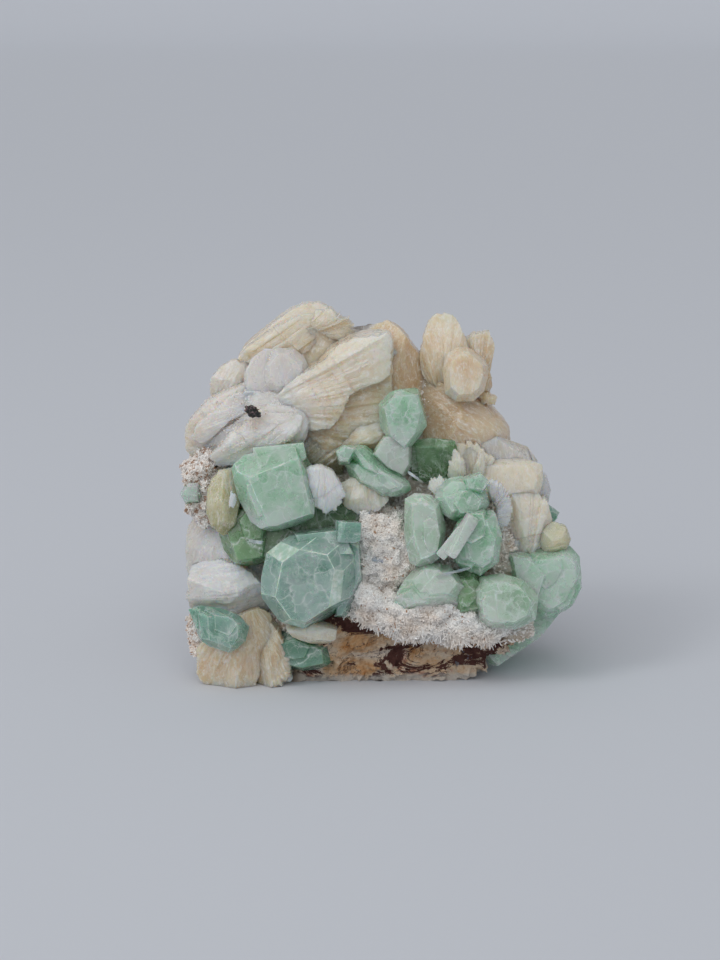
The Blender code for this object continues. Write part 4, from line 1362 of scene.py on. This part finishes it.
# ---------------------------------------------------------------------------------------------
# Apophyllite: the last to grow. Square, blocky crystals with small pyramid faces at the corners,
# glassy and mint green, full of fine cracks and veils, often two or three grown side by side.
# ---------------------------------------------------------------------------------------------
def apophyllite_material(name, pale, body, deep, clear=0.12, frost=0.10):
    """Pale in front and deeper where "tone" is high, which is partly painted shade towards the
    back of each crystal, with flat inner panes and white veils.
    """
    made, tree, shader, where = new_tree(name)
    grain = mark(tree, "grain", "Vector")
    clouds = patches(tree, where, 110.0, 6.0, 0.62, 0.5)
    base = ramp_wide(tree, times_plus(tree, clouds, 1.8, mark(tree, "tone")), pale, body, deep)
    # cracks split the inside into flat panes, each catching the light a little differently
    wander = add(tree, "ShaderNodeTexNoise", [("Vector", grain)], Scale=0.14, Detail=3.0)
    shifted = add(
        tree, "ShaderNodeVectorMath", [(0, wander.outputs["Color"]), (2, grain)],
        operation="MULTIPLY_ADD",
    )
    shifted.inputs[1].default_value = (11.0, 11.0, 11.0)
    cells = shifted.outputs[0]
    panes = add(tree, "ShaderNodeTexVoronoi", [("Vector", cells)], Scale=0.24)
    shade = ramp(tree, panes.outputs["Color"], (0.1, 0.80), (0.6, 1.0))
    base = blend(tree, 0.6, base, shade, "MULTIPLY")
    base = blend(tree, ramp(tree, panes.outputs["Color"], (0.66, 0.0), (0.72, 0.42)), base, pale)
    cracks = add(
        tree, "ShaderNodeTexVoronoi", [("Vector", cells)], feature="DISTANCE_TO_EDGE", Scale=0.24,
    )
    veil = ramp(tree, cracks.outputs["Distance"], (0.0, 0.95), (0.02, 0.35), (0.08, 0.0))
    patchy = ramp(tree, patches(tree, where, 190.0, 4.0, 0.7), (0.42, 0.0), (0.56, 1.0))
    veil = blend(tree, 1.0, veil, patchy, "MULTIPLY")
    wisps = ramp(tree, patches(tree, where, 240.0, 8.0, 0.78, 1.6), (0.52, 0.0), (0.67, 0.72))
    fine_cracks = add(
        tree, "ShaderNodeTexVoronoi", [("Vector", cells)], feature="DISTANCE_TO_EDGE", Scale=0.6,
    )
    hair = ramp(tree, fine_cracks.outputs["Distance"], (0.0, 0.75), (0.04, 0.0))
    hair = blend(tree, 1.0, hair, ramp(tree, clouds, (0.50, 0.0), (0.62, 1.0)), "MULTIPLY")
    base = blend(tree, wisps, base, linear(222, 240, 228))
    base = blend(tree, hair, base, linear(232, 246, 236))
    base = blend(tree, veil, base, linear(240, 250, 244))
    tree.links.new(base, shader.inputs["Base Color"])
    opaque = blend(tree, 1.0, veil, hair, "ADD")
    tree.links.new(ramp(tree, opaque, (0.0, 0.95), (0.6, 0.3)), shader.inputs["Subsurface Weight"])
    tree.links.new(
        ramp(tree, patches(tree, where, 260.0, 6.0, 0.65), (0.38, frost), (0.62, frost + 0.32)),
        shader.inputs["Roughness"],
    )
    set_inputs(
        shader, Subsurface_Radius=(0.55, 1.0, 0.7), Subsurface_Scale=0.0050,
        Transmission_Weight=clear, IOR=1.535, Coat_Weight=0.25, Coat_Roughness=0.08,
    )
    fine = bump(tree, patches(tree, where, 800.0, 6.0, 0.7), 0.0002, 0.5)
    tree.links.new(
        bump(tree, panes.outputs["Color"], 0.0003, 0.3, fine), shader.inputs["Normal"]
    )
    return made


def edge_highlight_and_frost_material(name, colour, pale):
    """The bevelled edges of the green crystals, painted pale as a highlight, and their frosted
    small faces; both look almost white.
    """
    made, tree, shader, where = new_tree(name)
    # painted highlight: the bevels run from the crystal's colour to almost white
    wear_and_edge_highlight = ramp(tree, patches(tree, where, 420.0, 5.0, 0.7), (0.42, colour), (0.64, pale))
    tree.links.new(wear_and_edge_highlight, shader.inputs["Base Color"])
    set_inputs(shader, Roughness=0.22, Subsurface_Weight=0.5, Subsurface_Scale=0.003)
    return made


MINT = apophyllite_material(
    "mint_apophyllite", linear(216, 236, 222), linear(174, 216, 186), linear(116, 180, 128), 0.25
)
DEEP = apophyllite_material(
    "deep_green_apophyllite", linear(150, 186, 142), linear(112, 156, 106), linear(78, 120, 70),
    0.25,
)
TEAL = apophyllite_material(
    "teal_apophyllite", linear(194, 216, 208), linear(152, 192, 178), linear(104, 160, 134),
    0.3, 0.05,
)
FROST = apophyllite_material(
    "frosted_apophyllite", linear(216, 228, 216), linear(178, 208, 180), linear(130, 182, 134),
    0.15, 0.14,
)
# Painted highlights for the bevelled edges; the same paints show the frost on small faces
PALE_EDGE_HIGHLIGHT_AND_FROST = edge_highlight_and_frost_material("apophyllite_edge_highlights_and_frost", linear(176, 204, 186), linear(230, 240, 234))
DEEP_EDGE_HIGHLIGHT_AND_FROST = edge_highlight_and_frost_material("deep_apophyllite_edge_highlights_and_frost", linear(118, 160, 118), linear(180, 208, 180))
DEEP_SLOT = "deep_green_apophyllite"
MINT_SLOT = "mint_apophyllite"

# The left: a cube over a deep green mass, and the largest crystal with its eight-sided front
crystal(
    "apophyllite_upper_left", MINT, PALE_EDGE_HIGHLIGHT_AND_FROST, MINT_SLOT,
    [(-24, [(-29.3, 42.7), (-18.3, 47), (-15.6, 34.8), (-24.8, 31.6)], (0.1, 0.15)),
     (-19, [(-33.3, 45), (-30.5, 47.7), (-24.5, 49), (-17.7, 49.3), (-15.2, 46), (-14.8, 39.5),
          (-15.3, 34), (-19, 32), (-24.8, 30.6), (-29, 33), (-31.8, 38)]),
     (-10, [(-22.75, 41.25)])],
    [(-21.5, [(-32.5, 44), (-29.5, 43.5), (-25.5, 33), (-29, 33.5)], (-0.1, 0.0)),
     (-14, [(-34, 44.5), (-29, 46), (-26, 32), (-31.5, 34.5)])],
    [(-19.5, [(-28.5, 49.3), (-17.3, 50.4), (-16.5, 46.5), (-28, 45.5)], (0.0, 0.3)),
     (-12, [(-28, 50), (-17.5, 51), (-16.5, 46), (-28, 45)])],
    terraces=0.0, mates=1, frosted=0.3,
)
crystal(
    "apophyllite_left_lobe", DEEP, DEEP_EDGE_HIGHLIGHT_AND_FROST, DEEP_SLOT,
    [(-20.5, [(-34, 31), (-29.5, 36.5), (-26.3, 31), (-27, 25), (-32, 24.5)], (0.0, 0.2)),
     (-14, [(-37.3, 32.5), (-31.5, 38), (-25.5, 33), (-25, 24), (-31.5, 22.7), (-35.5, 26.5)]),
     (-8, [(-30.75, 31)])],
    tone=0.1,
)
crystal(
    "apophyllite_under", DEEP, DEEP_EDGE_HIGHLIGHT_AND_FROST, DEEP_SLOT,
    [(-17, [(-26, 32), (-16, 33), (-5, 36), (-1, 33), (-6, 27), (-16, 25), (-25, 26)], (0.0, 0.2)),
     (-5, [(-28, 34), (-15, 40), (0, 40), (4, 34), (-4, 25), (-18, 23), (-27, 25)])],
    [(-19, [(-31, 30), (-22, 32), (-17, 29), (-21, 25.5), (-28, 25)], (0.0, 0.3)),
     (-12, [(-32, 31), (-20, 34), (-15, 29), (-21, 23), (-29, 24)])],
    tone=0.35,
)
crystal(
    "apophyllite_main", TEAL, PALE_EDGE_HIGHLIGHT_AND_FROST, MINT_SLOT,
    [(-29.5, [(-21.8, 24.2), (-18, 27), (-12, 25.8), (-9.6, 21), (-10.6, 13.3), (-13.6, 10.3),
          (-20, 11.6), (-23.4, 16.5)], (0.05, 0.06)),
     (-24.5, [(-26.7, 20.5), (-25.5, 26), (-20.5, 30), (-15, 31), (-8.3, 30), (-5.5, 26.5),
          (-5.8, 20), (-8, 12.5), (-11.5, 9), (-16.5, 9), (-22.7, 11), (-26.5, 16)]),
     (-12, [(-15.57, 20.43)])],
    [(-26, [(-19, 30), (-8.5, 31.2), (-6.5, 26), (-17, 25.5)], (0.0, 0.35)),
     (-17, [(-20, 31), (-7.5, 32), (-5.5, 26), (-17, 24)])],
    [(-24, [(-9, 28), (-5.2, 28.5), (-4.6, 20), (-7, 12), (-10, 12)], (-0.3, 0.0)),
     (-14, [(-10, 28), (-4.2, 28), (-3.8, 20), (-6.5, 10.5), (-11, 11)])],
    fade=0.06, mates=0, terraces=0.0, frosted=0.8,
)
crystal(
    "apophyllite_small_cube", TEAL, PALE_EDGE_HIGHLIGHT_AND_FROST, MINT_SLOT,
    ((-7.6, -24, 36.6), (5.0, 5.0, 4.6), (-8, 6, 14), 0.06),
    tone=0.1,
)
crystal(
    "apophyllite_lower_left", TEAL, PALE_EDGE_HIGHLIGHT_AND_FROST, MINT_SLOT,
    [(-28, [(-38.3, 11.8), (-33, 11.2), (-30.7, 9), (-33.5, 5), (-38, 6.8)], (-0.05, 0.15)),
     (-24.5, [(-44.2, 13.5), (-40.5, 14.3), (-36, 13.8), (-31.5, 12), (-29.3, 9.5), (-30.3, 6.3),
          (-33.5, 3.8), (-38.5, 5.2), (-41.7, 8.3)]),
     (-15, [(-36.6, 9.6)])],
    tone=0.15,
)
# a dull, deep-toned crystal; its darkness is partly its own colour, partly painted shade
crystal(
    "apophyllite_dull", TEAL, DEEP_EDGE_HIGHLIGHT_AND_FROST, DEEP_SLOT,
    [(-20.5, [(-23, 4), (-18, 6), (-13.5, 4), (-13, 1), (-18, 0), (-22, 1)], (0.0, 0.3)),
     (-15, [(-26, 4.5), (-22.5, 8), (-17, 9), (-11.5, 6), (-10, 2), (-14, -0.8), (-20, -0.8),
          (-24.5, 0.8)]),
     (-8, [(-17.25, 4.25)])],
    tone=0.6, terraces=0.1,
)
crystal(
    "apophyllite_left_edge", MINT, PALE_EDGE_HIGHLIGHT_AND_FROST, MINT_SLOT,
    [(-14, [(-45, 39), (-43.5, 41.5), (-41, 41.3), (-41.3, 37.5), (-44, 37.3)], (0.0, 0.0)),
     (-9, [(-45.7, 39), (-43.7, 42.3), (-40, 42), (-40.3, 36.5), (-44, 36.5)])],
)

# The middle: a crystal hanging over the hollow, a long beam and its plate, and a dark ribbed block
crystal(
    "apophyllite_top", MINT, PALE_EDGE_HIGHLIGHT_AND_FROST, MINT_SLOT,
    [(-18, [(0.6, 58.3), (2.8, 60.5), (7.3, 61), (8.5, 57), (7.4, 52.5), (5, 49.5),
          (2, 52)], (-0.05, 0.1)),
     (-13.5, [(-0.7, 59), (1.8, 61.7), (7.5, 63.2), (10.7, 61.7), (11.7, 59), (10.7, 55.5),
          (8.7, 52), (5.5, 48.3), (2, 50.7), (-0.2, 54)]),
     (-6, [(6.38, 57.5)])],
    mates=0, terraces=0.15, frosted=0.6,
)
crystal(
    "apophyllite_beam", MINT, PALE_EDGE_HIGHLIGHT_AND_FROST, MINT_SLOT,
    [(-19.5, [(-8.5, 48.8), (-6, 48.9), (4.5, 40.7), (2.5, 40), (-5, 43.6)], (0.0, 0.3)),
     (-15, [(-10.2, 49), (-7.5, 50.4), (-4.5, 50), (1, 46), (6, 42), (6.8, 40), (4, 38.5),
          (0, 38.8), (-5, 41), (-9, 45.3)]),
     (-11, [(-2, 44.6)])],
    [(-20, [(-10, 48.5), (-8.3, 49.8), (-6, 49), (-7.5, 46.3), (-9.3, 46.3)], (-0.1, 0.1)),
     (-15.5, [(-10.3, 49), (-8, 50.5), (-5, 49.2), (-7, 45.5), (-9.5, 45.5)])],
    tone=0.1,
)
crystal(
    "apophyllite_plate", FROST, PALE_EDGE_HIGHLIGHT_AND_FROST, MINT_SLOT,
    [(-17.5, [(-1.5, 48), (0.8, 51.3), (3.8, 52.2), (6, 49.3), (6, 45.7), (4.7, 43.4),
          (1.6, 44.9)], (0.2, 0.0)),
     (-14.5, [(-2.2, 48), (0.5, 52), (4.2, 53), (6.8, 49.6), (6.8, 45.3), (5, 42.6), (1.2, 44.2)])],
)
# a deep green block; its darkness is partly its own colour, partly painted shade
crystal(
    "apophyllite_olive", DEEP, DEEP_EDGE_HIGHLIGHT_AND_FROST, DEEP_SLOT,
    [(-12, [(6.3, 49.6), (16.4, 49.9), (16.2, 41.8), (7.3, 41)], (0.05, 0.0)),
     (-11, [(5.8, 51), (10.5, 51.6), (16.8, 51), (17.2, 48), (16.7, 41.5), (13, 40.5),
          (7.2, 40.5)]),
     (-2, [(11.75, 45.75)])],
    tone=0.35, fade=0.02,
)

# The cluster at centre right: frosted shields leaning on one another over the white crust
crystal(
    "apophyllite_cluster_top", MINT, PALE_EDGE_HIGHLIGHT_AND_FROST, MINT_SLOT,
    [(-23, [(13.5, 38.5), (15.5, 40.8), (19, 41), (22, 38), (20.5, 35), (16, 34.7)], (0.0, 0.2)),
     (-19.5, [(11.8, 39.3), (14, 42), (18.5, 43), (22.2, 41), (24.3, 37), (22.3, 33.5),
          (16.5, 32.8), (12.3, 35.7)]),
     (-13, [(17.75, 38.25)])],
    [(-24.3, [(18.6, 42.4), (21.8, 43.5), (23.4, 41.6), (22, 39.6), (19.2, 40)], (0.0, 0.1)),
     (-20, [(18.2, 43), (22, 44), (24, 41.6), (22, 39), (18.6, 39.6)])],
)
crystal(
    "apophyllite_cluster_left", FROST, PALE_EDGE_HIGHLIGHT_AND_FROST, MINT_SLOT,
    [(-25, [(6.6, 37), (9, 37.7), (11.8, 36), (12.7, 31), (11.8, 26), (8.8, 24.5),
          (7, 30)], (0.15, 0.06)),
     (-21, [(5.2, 38), (7.3, 39.3), (11, 38.9), (13.4, 36.3), (14.3, 31.5), (13.4, 25.3),
          (9.7, 22.5), (6.3, 23.7), (5, 30)]),
     (-14, [(10.25, 32.25)])],
    frosted=0.5, mates=4,
)
crystal(
    "apophyllite_cluster_right", MINT, PALE_EDGE_HIGHLIGHT_AND_FROST, MINT_SLOT,
    [(-26, [(17.8, 31), (20.5, 34), (24, 34), (25, 30), (24.4, 25.5), (21.5, 23.5),
          (18.6, 25)], (-0.15, 0.06)),
     (-21.5, [(16, 31.5), (19.8, 35.7), (24.8, 35.7), (26.7, 30), (26, 24), (22, 20.8), (17.6, 23),
          (15, 27)]),
     (-14, [(21.5, 28.75)])],
    tone=0.1, frosted=0.5, mates=4,
)
crystal(
    "apophyllite_cluster_prism", FROST, PALE_EDGE_HIGHLIGHT_AND_FROST, MINT_SLOT,
    ((17.4, -26.5, 36.2), (2.7, 2.6, 10.2), (-6, 34, 10), 0.14),
    ((15.4, -25.2, 34.4), (2.4, 2.4, 8.0), (-6, 37, -12), 0.14),
    tone=-0.15,
)
crystal(
    "apophyllite_cluster_low", FROST, PALE_EDGE_HIGHLIGHT_AND_FROST, MINT_SLOT,
    [(-25, [(6.5, 18.8), (10, 22), (14, 21.8), (16.3, 19), (14, 16.3), (9, 15.8)], (0.0, 0.25)),
     (-21, [(3, 16), (5.3, 20.3), (9.5, 24), (14.3, 23.5), (17, 20.5), (20.5, 16.5), (16.5, 13.8),
          (10.5, 13.3), (5.5, 13.8)]),
     (-15, [(11.25, 18.75)])],
    frosted=0.5, mates=4,
)
crystal(
    "apophyllite_cluster_base", DEEP, DEEP_EDGE_HIGHLIGHT_AND_FROST, MINT_SLOT,
    [(-23.5, [(17.5, 20.5), (21.5, 20.3), (23.3, 17.5), (21.5, 14), (18, 13.5),
          (16.5, 17)], (0.0, 0.2)),
     (-19, [(16, 22.3), (22.5, 22), (25, 17.5), (23.5, 13), (18.5, 11), (15, 14.5)]),
     (-14, [(19.75, 17.25)])],
    tone=-0.1,
)

# The lower right: a grey-green face in front of one long block, cut off along a slanting edge
crystal(
    "apophyllite_right_face", FROST, PALE_EDGE_HIGHLIGHT_AND_FROST, MINT_SLOT,
    [(-26, [(22, 17), (23.5, 19.2), (27, 19.6), (30.5, 18.4), (33, 15.5), (32.3, 12.3),
          (29.3, 10.7), (25, 11.2), (22.3, 13.7)], (0.05, 0.12)),
     (-22, [(20.3, 16.8), (22, 20.6), (26.5, 21.4), (31.2, 20.2), (35, 16.4), (34.5, 11),
          (30.3, 8.9), (24.5, 9.2), (20.7, 12.8)]),
     (-14, [(27.5, 15.25)])],
)
crystal(
    "apophyllite_right_block", MINT, PALE_EDGE_HIGHLIGHT_AND_FROST, MINT_SLOT,
    [(-12.5, [(26, 13), (34, 18), (41, 14), (38.3, 11), (33, 4.2), (26.8, -0.2),
          (23.5, 3)], (0.05, 0.1)),
     (-8, [(24.5, 14.5), (34.5, 20), (43, 15.5), (39.7, 11.2), (33.8, 3.6), (26.2, -1.6), (22, 2)]),
     (6, [(20, 14), (34, 18), (41.5, 14.5), (38, 10.5), (30, 4), (23, 3)])],
    fade=0.03,
)
crystal(
    "apophyllite_right_upper", MINT, PALE_EDGE_HIGHLIGHT_AND_FROST, MINT_SLOT,
    [(-18.5, [(34, 21.5), (37.3, 24.5), (41.8, 25.4), (43.3, 23.6), (43.8, 20), (41.5, 15.3),
          (38, 13), (34.8, 15.5)], (0.1, 0.1)),
     (-14, [(31, 23.5), (36.5, 26.5), (42.8, 27.4), (44.9, 24.8), (45.4, 20), (43, 14.6),
          (38.3, 10.8), (33, 13.5)]),
     (-3, [(39.75, 21)])],
    [(-19.5, [(29.5, 25), (33.5, 24.5), (36.5, 21), (35, 16), (30.5, 19)], (0.0, 0.2)),
     (-14, [(28.5, 26.5), (34, 26), (37.5, 21), (35.5, 15), (29.5, 18)])],
    fade=0.04,
)
crystal(
    "apophyllite_right_edge", TEAL, PALE_EDGE_HIGHLIGHT_AND_FROST, MINT_SLOT,
    [(-5.5, [(37.6, 37.5), (41.2, 34.7), (39, 32), (37, 34)], (0.1, 0.0)),
     (0, [(36.5, 38), (40.5, 35), (38.5, 31.5), (35.5, 33)])],
    tone=0.3,
)

# The back, out of sight from the front: two pairs of blocks grown side by side
crystal(
    "apophyllite_back_large", MINT, PALE_EDGE_HIGHLIGHT_AND_FROST, MINT_SLOT,
    ((5, 25, 25), (14, 12, 15), (14, 18, 28), 0.3),
    ((9, 25, 29), (10, 9, 11), (14, 18, 28), 0.25),
)
crystal(
    "apophyllite_back_small", DEEP, DEEP_EDGE_HIGHLIGHT_AND_FROST, MINT_SLOT,
    ((-14, 26, 24), (9, 9, 8.5), (-8, 30, 12), 0.3),
    ((-10, 25.5, 20), (6, 6, 6), (-8, 30, 12), 0.3),
)
